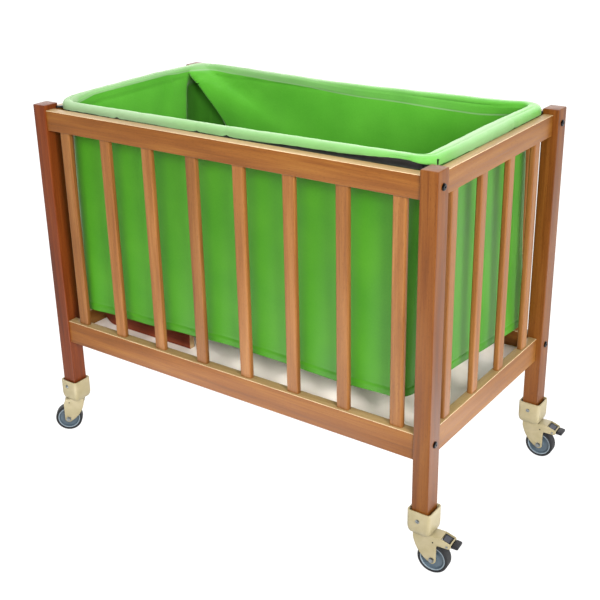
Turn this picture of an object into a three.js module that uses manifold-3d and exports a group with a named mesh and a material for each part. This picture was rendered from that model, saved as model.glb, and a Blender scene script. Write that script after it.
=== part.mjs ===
// A slatted wooden hospital cot on castors, with a cloth liner hung inside it on a steel frame.
// Millimetres, +Z up. The long sides run along X, the front side faces -Y, and the floor is at Z 0.

import * as THREE from "three";
import { mergeVertices } from "three/addons/utils/BufferGeometryUtils.js";
import Module from "manifold-3d";

const wasm = await Module();
wasm.setup();

// Gap between pieces that touch
const CLEARANCE = 0.3;

// Wooden frame
const FRAME_LENGTH = 1240;
const FRAME_WIDTH = 684;
const POST_TOP = 1012;
const POST_WIDTH = 44; // along the cot
const POST_DEPTH = 50; // across it
const TOP_RAIL_HEIGHT = 55.5;
const TOP_RAIL_DROP = 14; // from the post top down to the rail top
const BOTTOM_RAIL_HEIGHT = 69;
const BOTTOM_RAIL_Z = 303; // underside above the floor
const SIDE_RAIL_THICKNESS = 30;
const SIDE_RAIL_RECESS = 5.5; // behind the outer face of the posts
const END_RAIL_THICKNESS = 25;
const END_RAIL_RECESS = 15.5;
const SLAT_THICKNESS = 15.5;
const SIDE_SLAT_COUNT = 8;
const SIDE_SLAT_WIDTH = 35;
const SIDE_SLAT_MARGIN = 37.5; // from a post to the nearest slat
const END_SLAT_COUNT = 4;
const END_SLAT_WIDTH = 32;
const END_SLAT_MARGIN = 55.5;
const WOOD_EDGE = 3; // chamfer along the wooden edges
const BOARD_THICKNESS = 22;

// Bearers that stand on the base board under the head of the liner
const BEARER_LENGTH = 337;
const BEARER_THICKNESS = 20;
const BEARER_INSET_X = 64; // from the left end of the frame
const BEARER_INSET_Y = 130; // from the long sides of the frame
const BEARER_ROUND = 40; // radius of the lower outer corner

// Steel frame that carries the liner; insets are from the outer faces of the posts to the tube's middle
const TUBE_RADIUS = 11; // half its width, and its height above its middle
const TUBE_DEPTH = 18; // from its middle to its underside
const TUBE_DROP = 4; // middle of the tube below the post top
const TUBE_BEND = 34;
const TUBE_INSET = { left: 58, right: 62, front: 60, back: 48 };
const GUSSET_THICKNESS = 5;
const FLANGE_THICKNESS = 4;
const FLANGE_WIDTH = 8;

// Cloth liner; the hem insets are where its lower corners hang, from the outer faces of the posts
const CLOTH = 3;
const LINER_FLOOR_Z = 417;
const CUFF_DROP = 2; // outer edge of the cuff below the tube's middle
const CUFF_OPENING = 14; // how far each cuff stops from the bend of the tube's corner
const HEM_INSET = {
  frontLeft: [64, 53],
  frontRight: [88, 53],
  backRight: [48, 52],
  backLeft: [64, 52],
};
const HEM_BEND = 46;
const HEM_COVE = 6; // round between the floor and the walls inside
const FOLD_DEPTH = 9;
const FOLD_LENGTH = 210; // along the wall, from one fold to the next
const CORNER_FOLD_DEPTH = 24; // the loose fold that drops from the back left corner
const CORNER_FOLD_SLOPE = 0.62;
const CORNER_FOLD_WIDTH = 42;
const CORNER_FOLD_FALL = 300;

// Castors, drawn trailing towards +X from the swivel axis
const WHEEL_DIAMETER = 80;
const WHEEL_WIDTH = 30;
const TRAIL = 30;
const TYRE_DEPTH = 7;
const TYRE_SHOULDER = 6; // round between the tread and the tyre's sides
const HUB_RIM = 4;
const HUB_SETBACK = 2; // rim of the hub behind the tyre's sides
const HUB_BOSS_RADIUS = 11;
const HUB_BOSS_DRAFT = 2;
const HUB_WEB = 10;
const AXLE_RADIUS = 4;
const BOLT_HEAD_RADIUS = 6.5;
const BOLT_HEAD_HEIGHT = 4;
const FORK_PLAY = 1.5; // beside the wheel
const FORK_WALL = 2.5;
const CROWN_LEAD = 20; // crown ahead of the swivel axis
const CROWN_TAIL = 34; // crown behind the swivel axis
const CROWN_GAP = 23.5; // from the tyre to the crown's underside
const CROWN_THICKNESS = 3.5;
const CROWN_SLOPE = 12; // height of the cut corner behind the crown
const LEG_END_RADIUS = 11;
const LEG_SWEEP = 11; // how far ahead of the swivel axis the curve of the leading edge is drawn
const KINGPIN_RADIUS = 11;
const KINGPIN_LENGTH = 10;
const SWIVEL_GAP = 0.6;
const SOCKET_HEIGHT = 63;
const SOCKET_WALL = 3.8;
const SOCKET_PLAY = 2.7; // around the post
const SOCKET_BOWL = 22; // solid, rounded lower part
const SOCKET_CORNER = 9;
const SOCKET_TAPER = 7.5; // how far the bowl draws in at its foot

// Brake arm and pedal of the right-hand castors
const ARM_SHOULDER = 52; // from the swivel axis to where the arm's top starts to slope
const ARM_REACH = 78;
const ARM_SLOPE = 9; // drop of the sloping top
const ARM_DEPTH = 13; // height of the arm's end
const ARM_NOSE = 5; // cut at the lower corner of the arm's end
const ARM_ROOT = 6.5; // how far below the arm its underside runs into the leg
const STRIP_WIDTH = 3;
const STRIP_HEIGHT = 2.5;
const PEDAL_PLAY = 2;
const PEDAL_THICKNESS = 6;
const PEDAL_TIP = 16; // pedal that shows beyond the arm
const PEDAL_TIP_DROP = 1.5;
const PIVOT_RADIUS = 3;
const PIVOT_BACK = 10; // pivot from the end of the arm

// Facets
const WHEEL_FACETS = 24;
const TUBE_FACETS = 10;
const PIN_FACETS = 12;
const BEND_STEPS = 3;
const ROUND_STEPS = 6;
const CUFF_STEPS = 3;
const SIDE_COLUMNS = 14;
const END_COLUMNS = 8;
const WALL_LEVELS = [0.14, 0.38, 0.7]; // rows of the liner's wall, from the tube down to the floor

// Heights worked out from the sizes above
const axleZ = WHEEL_DIAMETER / 2;
const crownUnder = WHEEL_DIAMETER + CROWN_GAP;
const crownTop = crownUnder + CROWN_THICKNESS;
const socketFoot = crownTop + SWIVEL_GAP;
const socketFloor = socketFoot + SOCKET_BOWL;
const postFoot = socketFloor + CLEARANCE;
const topRailTop = POST_TOP - TOP_RAIL_DROP;
const topRailUnder = topRailTop - TOP_RAIL_HEIGHT;
const bottomRailTop = BOTTOM_RAIL_Z + BOTTOM_RAIL_HEIGHT;
const boardTop = BOTTOM_RAIL_Z + BOARD_THICKNESS;
const tubeZ = POST_TOP - TUBE_DROP;
const armEnd = crownTop - ARM_SLOPE;
const pivotZ = armEnd - STRIP_HEIGHT - PEDAL_PLAY - PEDAL_THICKNESS / 2;

const halfLength = FRAME_LENGTH / 2;
const halfWidth = FRAME_WIDTH / 2;
const forkInside = WHEEL_WIDTH + 2 * FORK_PLAY;
const forkOutside = forkInside + 2 * FORK_WALL;

const finish = (color, roughness, metalness = 0) =>
  new THREE.MeshStandardMaterial({ color, roughness, metalness });

const finishes = {
  post: () => finish(0x96582f, 0.45),
  rail: () => finish(0xad6f3d, 0.45),
  slat: () => finish(0xb5783f, 0.45),
  board: () => finish(0xe1ded7, 0.4),
  bearer: () => finish(0x7a3d22, 0.6),
  tube: () => finish(0x1c1c1c, 0.5, 0.4),
  cloth: () => finish(0x58aa37, 0.55),
  coating: () => finish(0xcbbc8e, 0.45, 0.1),
  tyre: () => finish(0x55555a, 0.7),
  hub: () => finish(0x64737d, 0.5),
  pedal: () => finish(0x3c3e44, 0.6),
};

const cot = new THREE.Group();

// One named piece of the cot, added to a group
function addPiece(name, geometry, material, parent = cot) {
  const piece = new THREE.Mesh(geometry, material);
  piece.name = name;
  parent.add(piece);
  return piece;
}

// Booleans

function solidOf(geometry) {
  const bare = geometry.clone();
  bare.deleteAttribute("normal");
  bare.deleteAttribute("uv");
  const merged = mergeVertices(bare);
  return new wasm.Manifold(
    new wasm.Mesh({
      numProp: 3,
      vertProperties: new Float32Array(merged.attributes.position.array),
      triVerts: new Uint32Array(merged.index.array),
    }),
  );
}

function geometryOf(solid) {
  const mesh = solid.getMesh();
  return new THREE.BufferGeometry()
    .setAttribute("position", new THREE.BufferAttribute(mesh.vertProperties, 3))
    .setIndex(new THREE.BufferAttribute(mesh.triVerts, 1));
}

const join = (first, ...others) =>
  geometryOf(others.reduce((sum, one) => sum.add(solidOf(one)), solidOf(first)));

const cut = (first, ...tools) =>
  geometryOf(tools.reduce((rest, tool) => rest.subtract(solidOf(tool)), solidOf(first)));

// Shapes

function chamferedRectangle(width, height, edge) {
  const x = width / 2;
  const y = height / 2;
  return new THREE.Shape([
    new THREE.Vector2(x, y - edge),
    new THREE.Vector2(x - edge, y),
    new THREE.Vector2(edge - x, y),
    new THREE.Vector2(-x, y - edge),
    new THREE.Vector2(-x, edge - y),
    new THREE.Vector2(edge - x, -y),
    new THREE.Vector2(x - edge, -y),
    new THREE.Vector2(x, edge - y),
  ]);
}

// A block between two corners, each given as [x, y, z]
function block(low, high) {
  const size = high.map((value, i) => value - low[i]);
  const middle = high.map((value, i) => (value + low[i]) / 2);
  return new THREE.BoxGeometry(...size).translate(...middle);
}

// A solid through rings of points, which run anticlockwise seen from the last ring
function loft(rings, closed = false) {
  const count = rings[0].length;
  const points = rings.flat();
  const index = [];
  const spans = closed ? rings.length : rings.length - 1;
  for (let i = 0; i < spans; i++) {
    const below = i * count;
    const above = ((i + 1) % rings.length) * count;
    for (let j = 0; j < count; j++) {
      const next = (j + 1) % count;
      index.push(below + j, below + next, above + next);
      index.push(below + j, above + next, above + j);
    }
  }
  if (!closed) {
    const last = (rings.length - 1) * count;
    const foot = points.length;
    const head = foot + 1;
    for (const ring of [rings[0], rings.at(-1)]) {
      const middle = new THREE.Vector3();
      ring.forEach((point) => middle.addScaledVector(point, 1 / count));
      points.push(middle);
    }
    for (let j = 0; j < count; j++) {
      const next = (j + 1) % count;
      index.push(foot, next, j);
      index.push(head, last + j, last + next);
    }
  }
  return new THREE.BufferGeometry().setFromPoints(points).setIndex(index);
}

// A shape drawn in the XZ plane and given a width across Y
const acrossY = (shape, width) =>
  new THREE.ExtrudeGeometry(shape, { depth: width, bevelEnabled: false, curveSegments: ROUND_STEPS })
    .translate(0, 0, -width / 2)
    .rotateX(Math.PI / 2);

// A round bar along Y through a point of the XZ plane
const pinAcross = (radius, length, x, z) =>
  new THREE.CylinderGeometry(radius, radius, length, PIN_FACETS).translate(x, 0, z);

// Turns a bar that is extruded along its own Z so that it runs along a world axis
const barTurn = {
  x: new THREE.Matrix4().makeBasis(
    new THREE.Vector3(0, 1, 0),
    new THREE.Vector3(0, 0, 1),
    new THREE.Vector3(1, 0, 0),
  ),
  y: new THREE.Matrix4().makeBasis(
    new THREE.Vector3(0, 0, 1),
    new THREE.Vector3(1, 0, 0),
    new THREE.Vector3(0, 1, 0),
  ),
  z: new THREE.Matrix4(),
};

// A chamfered wooden bar between two corners, running along one axis
function addBar(name, axis, low, high, material) {
  const order = { x: [1, 2, 0], y: [2, 0, 1], z: [0, 1, 2] }[axis];
  const [width, height, length] = order.map((i) => high[i] - low[i]);
  const shape = chamferedRectangle(width, height, WOOD_EDGE);
  const geometry = new THREE.ExtrudeGeometry(shape, { depth: length, bevelEnabled: false });
  const bar = addPiece(name, geometry.translate(0, 0, -length / 2), material);
  bar.position.set(...low.map((value, i) => (value + high[i]) / 2));
  bar.quaternion.setFromRotationMatrix(barTurn[axis]);
}

// Posts

const corners = [
  { name: "front_left", sideX: -1, sideY: -1 },
  { name: "front_right", sideX: 1, sideY: -1 },
  { name: "back_left", sideX: -1, sideY: 1 },
  { name: "back_right", sideX: 1, sideY: 1 },
];
for (const corner of corners) {
  corner.x = corner.sideX * (halfLength - POST_WIDTH / 2);
  corner.y = corner.sideY * (halfWidth - POST_DEPTH / 2);
}

function addPost(corner) {
  const shape = chamferedRectangle(POST_WIDTH, POST_DEPTH, WOOD_EDGE);
  const geometry = new THREE.ExtrudeGeometry(shape, {
    depth: POST_TOP - postFoot - 2 * WOOD_EDGE,
    bevelThickness: WOOD_EDGE,
    bevelSize: WOOD_EDGE,
    bevelOffset: -WOOD_EDGE,
    bevelSegments: 1,
  });
  const post = addPiece("post_" + corner.name, geometry, finishes.post());
  post.position.set(corner.x, corner.y, postFoot + WOOD_EDGE);
}
corners.forEach(addPost);

// Rails and slats

const sideRun = halfLength - POST_WIDTH - CLEARANCE;
const endRun = halfWidth - POST_DEPTH - CLEARANCE;
const sideRailOuter = halfWidth - SIDE_RAIL_RECESS;
const sideRailInner = sideRailOuter - SIDE_RAIL_THICKNESS;
const endRailOuter = halfLength - END_RAIL_RECESS;
const endRailInner = endRailOuter - END_RAIL_THICKNESS;
const railLevels = [
  { name: "top_rail_", low: topRailUnder, high: topRailTop },
  { name: "bottom_rail_", low: BOTTOM_RAIL_Z, high: bottomRailTop },
];
const slatLow = bottomRailTop + CLEARANCE;
const slatHigh = topRailUnder - CLEARANCE;

// A stretch between two signed distances, lowest first
const stretch = (a, b) => [Math.min(a, b), Math.max(a, b)];

// Left edges of slats spread evenly over a run that is centred on 0
function slatEdges(count, width, run, margin) {
  const first = margin - run;
  const pitch = (2 * (run - margin) - width) / (count - 1);
  return Array.from({ length: count }, (_, i) => first + i * pitch);
}

function addSide(name, side) {
  const [low, high] = stretch(side * sideRailInner, side * sideRailOuter);
  for (const level of railLevels) {
    const from = [-sideRun, low, level.low];
    const to = [sideRun, high, level.high];
    addBar(level.name + name, "x", from, to, finishes.rail());
  }
  const middle = (low + high) / 2;
  slatEdges(SIDE_SLAT_COUNT, SIDE_SLAT_WIDTH, halfLength - POST_WIDTH, SIDE_SLAT_MARGIN).forEach((x, i) => {
    const from = [x, middle - SLAT_THICKNESS / 2, slatLow];
    const to = [x + SIDE_SLAT_WIDTH, middle + SLAT_THICKNESS / 2, slatHigh];
    addBar("slat_" + name + "_" + (i + 1), "z", from, to, finishes.slat());
  });
}

function addEnd(name, side) {
  const [low, high] = stretch(side * endRailInner, side * endRailOuter);
  for (const level of railLevels) {
    const from = [low, -endRun, level.low];
    const to = [high, endRun, level.high];
    addBar(level.name + name, "y", from, to, finishes.rail());
  }
  const middle = (low + high) / 2;
  slatEdges(END_SLAT_COUNT, END_SLAT_WIDTH, halfWidth - POST_DEPTH, END_SLAT_MARGIN).forEach((y, i) => {
    const from = [middle - SLAT_THICKNESS / 2, y, slatLow];
    const to = [middle + SLAT_THICKNESS / 2, y + END_SLAT_WIDTH, slatHigh];
    addBar("slat_" + name + "_" + (i + 1), "z", from, to, finishes.slat());
  });
}

addSide("front", -1);
addSide("back", 1);
addEnd("left", -1);
addEnd("right", 1);

// Base board between the bottom rails, notched round the posts

function addBoard() {
  const x = endRailInner - CLEARANCE;
  const y = sideRailInner - CLEARANCE;
  const sheet = block([-x, -y, BOTTOM_RAIL_Z], [x, y, boardTop]);
  const notches = corners.map((corner) => {
    const inner = [
      corner.sideX * (halfLength - POST_WIDTH - CLEARANCE),
      corner.sideY * (halfWidth - POST_DEPTH - CLEARANCE),
    ];
    const outer = [corner.sideX * halfLength, corner.sideY * halfWidth];
    const [lowX, highX] = stretch(inner[0], outer[0]);
    const [lowY, highY] = stretch(inner[1], outer[1]);
    return block([lowX, lowY, BOTTOM_RAIL_Z - 1], [highX, highY, boardTop + 1]);
  });
  addPiece("base_board", cut(sheet, ...notches), finishes.board());
}
addBoard();

// Bearers on the board, each with its lower outer corner rounded

function addBearer(name, side) {
  const left = BEARER_INSET_X - halfLength;
  const right = left + BEARER_LENGTH;
  const foot = boardTop + CLEARANCE;
  const head = LINER_FLOOR_Z - CLEARANCE;
  const shape = new THREE.Shape();
  shape.moveTo(right, foot);
  shape.lineTo(right, head);
  shape.lineTo(left, head);
  shape.lineTo(left, foot + BEARER_ROUND);
  shape.absarc(left + BEARER_ROUND, foot + BEARER_ROUND, BEARER_ROUND, Math.PI, Math.PI * 1.5);
  const geometry = acrossY(shape, BEARER_THICKNESS);
  const bearer = addPiece("bearer_" + name, geometry, finishes.bearer());
  bearer.position.y = side * (halfWidth - BEARER_INSET_Y - BEARER_THICKNESS / 2);
}
addBearer("front", -1);
addBearer("back", 1);

// Loops in plan: four corners in anticlockwise order from the front left, each bent over a cut

const loopSides = ["front", "right", "back", "left"];

function loopPath(plan, bend, columns) {
  const path = [];
  plan.forEach((corner, i) => {
    const before = plan[(i + 3) % 4];
    const after = plan[(i + 1) % 4];
    const start = corner.clone().add(before.clone().sub(corner).setLength(bend));
    const end = corner.clone().add(after.clone().sub(corner).setLength(bend));
    const arc = new THREE.QuadraticBezierCurve(start, corner, end);
    arc.getPoints(BEND_STEPS).forEach((point) => path.push({ point, side: loopSides[i], along: 0 }));
    const next = after.clone().add(corner.clone().sub(after).setLength(bend));
    for (let k = 1; k < columns[i]; k++) {
      const share = 0.5 - 0.5 * Math.cos((Math.PI * k) / columns[i]);
      const point = end.clone().lerp(next, share);
      path.push({ point, side: loopSides[i], along: end.distanceTo(next) * share });
    }
  });
  path.forEach((place, k) => {
    const before = path.at(k - 1).point;
    const after = path[(k + 1) % path.length].point;
    place.outward = new THREE.Vector2(after.y - before.y, before.x - after.x).normalize();
  });
  return path;
}

const planCorners = (frontLeft, frontRight, backRight, backLeft) => [
  new THREE.Vector2(frontLeft[0] - halfLength, frontLeft[1] - halfWidth),
  new THREE.Vector2(halfLength - frontRight[0], frontRight[1] - halfWidth),
  new THREE.Vector2(halfLength - backRight[0], halfWidth - backRight[1]),
  new THREE.Vector2(backLeft[0] - halfLength, halfWidth - backLeft[1]),
];

const tubeCorners = planCorners(
  [TUBE_INSET.left, TUBE_INSET.front],
  [TUBE_INSET.right, TUBE_INSET.front],
  [TUBE_INSET.right, TUBE_INSET.back],
  [TUBE_INSET.left, TUBE_INSET.back],
);
const hemCorners = planCorners(
  HEM_INSET.frontLeft,
  HEM_INSET.frontRight,
  HEM_INSET.backRight,
  HEM_INSET.backLeft,
);

const inPlan = (place, offset, z) =>
  new THREE.Vector3(
    place.point.x + place.outward.x * offset,
    place.point.y + place.outward.y * offset,
    z,
  );

// Steel frame: a closed tube with a gusset and a flange to each post

function tubeLoop() {
  const path = loopPath(tubeCorners, TUBE_BEND, [1, 1, 1, 1]);
  const rings = path.map((place) =>
    Array.from({ length: TUBE_FACETS }, (_, j) => {
      const angle = (-2 * Math.PI * j) / TUBE_FACETS;
      const height = Math.sin(angle) < 0 ? TUBE_DEPTH : TUBE_RADIUS;
      return inPlan(place, TUBE_RADIUS * Math.cos(angle), tubeZ + height * Math.sin(angle));
    }),
  );
  return loft(rings, true);
}

function postBracket(corner) {
  const faceX = halfLength - POST_WIDTH - CLEARANCE;
  const faceY = halfWidth - POST_DEPTH;
  const insetX = corner.sideX < 0 ? TUBE_INSET.left : TUBE_INSET.right;
  const insetY = corner.sideY < 0 ? TUBE_INSET.front : TUBE_INSET.back;
  const bendInset = TUBE_BEND / 4; // middle of the tube's bend, from its corner
  const bendX = halfLength - insetX - bendInset;
  const bendY = halfWidth - insetY - bendInset;
  const outline = [
    [faceX, faceY + FLANGE_WIDTH],
    [faceX, faceY],
    [bendX + TUBE_RADIUS / 2, bendY - TUBE_RADIUS],
    [bendX - TUBE_RADIUS / 2, bendY],
    [faceX - FLANGE_THICKNESS, faceY + FLANGE_WIDTH],
  ].map(([x, y]) => new THREE.Vector2(corner.sideX * x, corner.sideY * y));
  const gusset = new THREE.ExtrudeGeometry(new THREE.Shape(outline), {
    depth: GUSSET_THICKNESS,
    bevelEnabled: false,
  }).translate(0, 0, tubeZ - GUSSET_THICKNESS / 2);
  const [lowX, highX] = stretch(
    corner.sideX * (faceX - FLANGE_THICKNESS),
    corner.sideX * faceX,
  );
  const [lowY, highY] = stretch(corner.sideY * faceY, corner.sideY * (faceY + FLANGE_WIDTH));
  const flangeTop = tubeZ + GUSSET_THICKNESS / 2;
  const flange = block([lowX, lowY, topRailTop + CLEARANCE], [highX, highY, flangeTop]);
  return [gusset, flange];
}

addPiece("liner_frame", join(tubeLoop(), ...corners.flatMap(postBracket)), finishes.tube());

// Liner: one sheet that rises from a flat floor, goes over the tube from inside and ends in a cuff

// How far a point of the wall is drawn inwards; depth runs from 0 at the tube to 1 at the floor
function foldDepth(place, depth, run) {
  const sway = 0.5 - 0.5 * Math.cos((2 * Math.PI * place.along) / FOLD_LENGTH);
  const drop = depth * (tubeZ - LINER_FLOOR_Z);
  let inward = place.along > 0 ? FOLD_DEPTH * sway * depth : 0;
  if (place.side === "back") {
    const fromCorner = run - place.along;
    const aside = (fromCorner - CORNER_FOLD_SLOPE * drop) / CORNER_FOLD_WIDTH;
    const fade = Math.max(0, 1 - drop / CORNER_FOLD_FALL) * Math.min(1, drop / CORNER_FOLD_WIDTH);
    inward += CORNER_FOLD_DEPTH * fade * Math.exp(-aside * aside);
  }
  return inward;
}

function linerSheet() {
  const columns = [SIDE_COLUMNS, END_COLUMNS, SIDE_COLUMNS, END_COLUMNS];
  const top = loopPath(tubeCorners, TUBE_BEND, columns);
  const hem = loopPath(hemCorners, HEM_BEND, columns);
  const backRun = tubeCorners[2].distanceTo(tubeCorners[3]) - 2 * TUBE_BEND;
  const cuffRadius = (TUBE_RADIUS + CLEARANCE) / Math.cos(Math.PI / CUFF_STEPS / 2);
  const wallTop = tubeZ - TUBE_RADIUS;

  const wallRow = (depth, offset, z) =>
    top.map((place, k) => {
      const high = inPlan(place, offset - cuffRadius, z);
      const low = inPlan(hem[k], offset, z);
      const inward = foldDepth(place, depth, backRun);
      const outward = new THREE.Vector3(place.outward.x, place.outward.y, 0);
      return high.lerp(low, depth).addScaledVector(outward, -inward);
    });
  const levelZ = (depth) => wallTop + (LINER_FLOOR_Z - wallTop) * depth;

  // The part of one face of the sheet from just above the floor up to the cuff's edge
  const face = (offset) => {
    const rows = [];
    WALL_LEVELS.toReversed().forEach((depth) => rows.push(wallRow(depth, offset, levelZ(depth))));
    rows.push(wallRow(0, offset, wallTop));
    const radius = cuffRadius - offset;
    for (let i = 0; i <= CUFF_STEPS; i++) {
      const angle = Math.PI * (1 - i / CUFF_STEPS);
      const z = tubeZ + radius * Math.sin(angle);
      rows.push(top.map((place) => inPlan(place, radius * Math.cos(angle), z)));
    }
    rows.push(top.map((place) => inPlan(place, radius, tubeZ - CUFF_DROP)));
    return rows;
  };
  const hemRow = wallRow(1, 0, LINER_FLOOR_Z);
  const floorZ = LINER_FLOOR_Z + CLOTH;
  const coveDepth = 1 - HEM_COVE / (wallTop - LINER_FLOOR_Z);
  const coveRow = wallRow(coveDepth, -CLOTH, floorZ + HEM_COVE);
  const floorRow = wallRow(1, -CLOTH - HEM_COVE, floorZ);
  return loft([hemRow, ...face(0), ...face(-CLOTH).reverse(), coveRow, floorRow]);
}

// Space round each bend of the tube where the cuffs stop and the frame shows
function cuffGap(corner) {
  const insetX = corner.sideX < 0 ? TUBE_INSET.left : TUBE_INSET.right;
  const insetY = corner.sideY < 0 ? TUBE_INSET.front : TUBE_INSET.back;
  const bendX = corner.sideX * (halfLength - insetX);
  const bendY = corner.sideY * (halfWidth - insetY);
  const reach = TUBE_BEND / 2 + CUFF_OPENING;
  const proud = 3 * TUBE_RADIUS; // well past the cuff
  const [lowX, highX] = stretch(bendX - corner.sideX * reach, bendX + corner.sideX * proud);
  const [lowY, highY] = stretch(bendY - corner.sideY * reach, bendY + corner.sideY * proud);
  const low = tubeZ - GUSSET_THICKNESS - TUBE_RADIUS / 2;
  return block([lowX, lowY, low], [highX, highY, tubeZ + proud]);
}

addPiece("liner", cut(linerSheet(), ...corners.map(cuffGap)), finishes.cloth());

// Castors

function roundedSquare(half, radius, z) {
  const ring = [];
  [0, 1, 2, 3].forEach((quarter) => {
    const middle = new THREE.Vector2(half - radius, half - radius);
    middle.rotateAround(new THREE.Vector2(), (quarter * Math.PI) / 2);
    for (let k = 0; k <= BEND_STEPS; k++) {
      const angle = ((quarter + k / BEND_STEPS) * Math.PI) / 2;
      const x = middle.x + radius * Math.cos(angle);
      ring.push(new THREE.Vector3(x, middle.y + radius * Math.sin(angle), z));
    }
  });
  return ring;
}

function socketGeometry() {
  const hollow = Math.max(POST_WIDTH, POST_DEPTH) / 2 + SOCKET_PLAY;
  const half = hollow + SOCKET_WALL;
  const rings = [];
  for (let k = 0; k <= BEND_STEPS; k++) {
    const angle = (k / BEND_STEPS) * (Math.PI / 2);
    const inset = SOCKET_TAPER * (1 - Math.sin(angle));
    rings.push(roundedSquare(half - inset, SOCKET_CORNER, socketFloor - SOCKET_BOWL * Math.cos(angle)));
  }
  rings.push(roundedSquare(half, SOCKET_CORNER, socketFoot + SOCKET_HEIGHT));
  const outside = loft(rings);
  const innerCorner = Math.max(SOCKET_CORNER - SOCKET_WALL, CLEARANCE);
  const inside = loft([
    roundedSquare(hollow, innerCorner, socketFloor),
    roundedSquare(hollow, innerCorner, socketFoot + SOCKET_HEIGHT + 1),
  ]);
  return cut(outside, inside);
}

// Side view of a fork: crown, leading edge, rounded leg end, and the brake arm where there is one
function forkOutline(braked) {
  const legBack = TRAIL + LEG_END_RADIUS;
  const shape = new THREE.Shape();
  shape.moveTo(-CROWN_LEAD, crownTop);
  shape.lineTo(-CROWN_LEAD, crownUnder - CROWN_SLOPE);
  shape.quadraticCurveTo(
    -LEG_SWEEP,
    axleZ + LEG_END_RADIUS,
    TRAIL - LEG_END_RADIUS * Math.SQRT1_2,
    axleZ - LEG_END_RADIUS * Math.SQRT1_2,
  );
  shape.absarc(TRAIL, axleZ, LEG_END_RADIUS, Math.PI * 1.25, Math.PI * 2);
  if (braked) {
    const under = armEnd - ARM_DEPTH;
    shape.lineTo(legBack, under - ARM_ROOT);
    shape.lineTo(ARM_REACH - ARM_NOSE, under);
    shape.lineTo(ARM_REACH, under + ARM_NOSE);
    shape.lineTo(ARM_REACH, armEnd);
    shape.lineTo(ARM_SHOULDER, crownTop);
  } else {
    shape.lineTo(legBack, crownUnder - CROWN_SLOPE);
    shape.lineTo(CROWN_TAIL, crownTop);
  }
  return shape;
}

function forkGeometry(braked) {
  const outline = new THREE.Shape(forkOutline(braked).getPoints(BEND_STEPS));
  const slotReach = ARM_REACH + CROWN_LEAD;
  const inside = forkInside / 2;
  const cuts = [block([-slotReach, -inside, -1], [slotReach, inside, crownUnder])];
  const kingpin = new THREE.CylinderGeometry(
    KINGPIN_RADIUS,
    KINGPIN_RADIUS,
    KINGPIN_LENGTH,
    PIN_FACETS,
  )
    .rotateX(Math.PI / 2)
    .translate(0, 0, crownUnder + CROWN_THICKNESS / 2 - KINGPIN_LENGTH / 2);
  const added = [
    kingpin,
    pinAcross(AXLE_RADIUS, forkOutside + BOLT_HEAD_HEIGHT, TRAIL, axleZ),
  ];
  for (const side of [-1, 1]) {
    const head = pinAcross(BOLT_HEAD_RADIUS, BOLT_HEAD_HEIGHT, TRAIL, axleZ);
    added.push(head.translate(0, side * (forkOutside / 2 + BOLT_HEAD_HEIGHT / 2 - CLEARANCE), 0));
  }
  if (braked) {
    cuts.push(block([ARM_SHOULDER, -inside, axleZ], [slotReach, inside, crownTop + 1]));
    const stripLow = [ARM_REACH - STRIP_WIDTH, -forkOutside / 2 + CLEARANCE, armEnd - STRIP_HEIGHT];
    added.push(block(stripLow, [ARM_REACH, forkOutside / 2 - CLEARANCE, armEnd]));
    added.push(pinAcross(PIVOT_RADIUS, forkOutside + CLEARANCE, ARM_REACH - PIVOT_BACK, pivotZ));
  }
  return join(cut(acrossY(outline, forkOutside), ...cuts), ...added);
}

// Pedal: a plate on the pivot under the arm's end strip, with a pad in the arm's window and a tip outside
function pedalGeometry() {
  const width = forkInside - 2 * PEDAL_PLAY;
  const top = pivotZ + PEDAL_THICKNESS / 2;
  const foot = pivotZ - PEDAL_THICKNESS / 2;
  const padLeft = ARM_SHOULDER + PEDAL_PLAY;
  const padRight = ARM_REACH - STRIP_WIDTH - PEDAL_PLAY;
  const fall = ARM_SLOPE / (ARM_REACH - ARM_SHOULDER);
  const padTop = (x) => crownTop - CROWN_THICKNESS - fall * (x - ARM_SHOULDER);
  const tipLeft = ARM_REACH + PEDAL_PLAY;
  const tipRight = ARM_REACH + PEDAL_TIP;
  const outline = new THREE.Shape([
    new THREE.Vector2(padLeft, foot),
    new THREE.Vector2(tipLeft, foot),
    new THREE.Vector2(tipRight, foot - PEDAL_TIP_DROP),
    new THREE.Vector2(tipRight, top + STRIP_HEIGHT - PEDAL_TIP_DROP),
    new THREE.Vector2(tipLeft, top + STRIP_HEIGHT),
    new THREE.Vector2(tipLeft, top),
    new THREE.Vector2(padRight, top),
    new THREE.Vector2(padRight, padTop(padRight)),
    new THREE.Vector2(padLeft, padTop(padLeft)),
  ]);
  const hole = pinAcross(PIVOT_RADIUS, forkOutside, ARM_REACH - PIVOT_BACK, pivotZ);
  const room = (PIVOT_RADIUS + CLEARANCE) / (PIVOT_RADIUS * Math.cos(Math.PI / PIN_FACETS));
  hole.translate(PIVOT_BACK - ARM_REACH, 0, -pivotZ);
  hole.scale(room, 1, room);
  hole.translate(ARM_REACH - PIVOT_BACK, 0, pivotZ);
  return cut(acrossY(outline, width), hole);
}

// A closed profile of [radius, place along the axle], turned round the axle
function wheelRing(profile) {
  const points = profile.map(([radius, across]) => new THREE.Vector2(radius, across));
  points.push(points[0].clone());
  return new THREE.LatheGeometry(points, WHEEL_FACETS, Math.PI / WHEEL_FACETS);
}

const mirrored = (half) => [...half, ...half.toReversed().map(([radius, across]) => [radius, -across])];

function tyreGeometry() {
  const outer = WHEEL_DIAMETER / 2;
  const half = WHEEL_WIDTH / 2;
  const profile = [[outer - TYRE_DEPTH, HUB_SETBACK - half]];
  for (let k = 0; k <= BEND_STEPS; k++) {
    const angle = (k / BEND_STEPS) * (Math.PI / 2);
    profile.push([
      outer - TYRE_SHOULDER * (1 - Math.sin(angle)),
      TYRE_SHOULDER * (1 - Math.cos(angle)) - half,
    ]);
  }
  return wheelRing(mirrored(profile));
}

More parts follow.
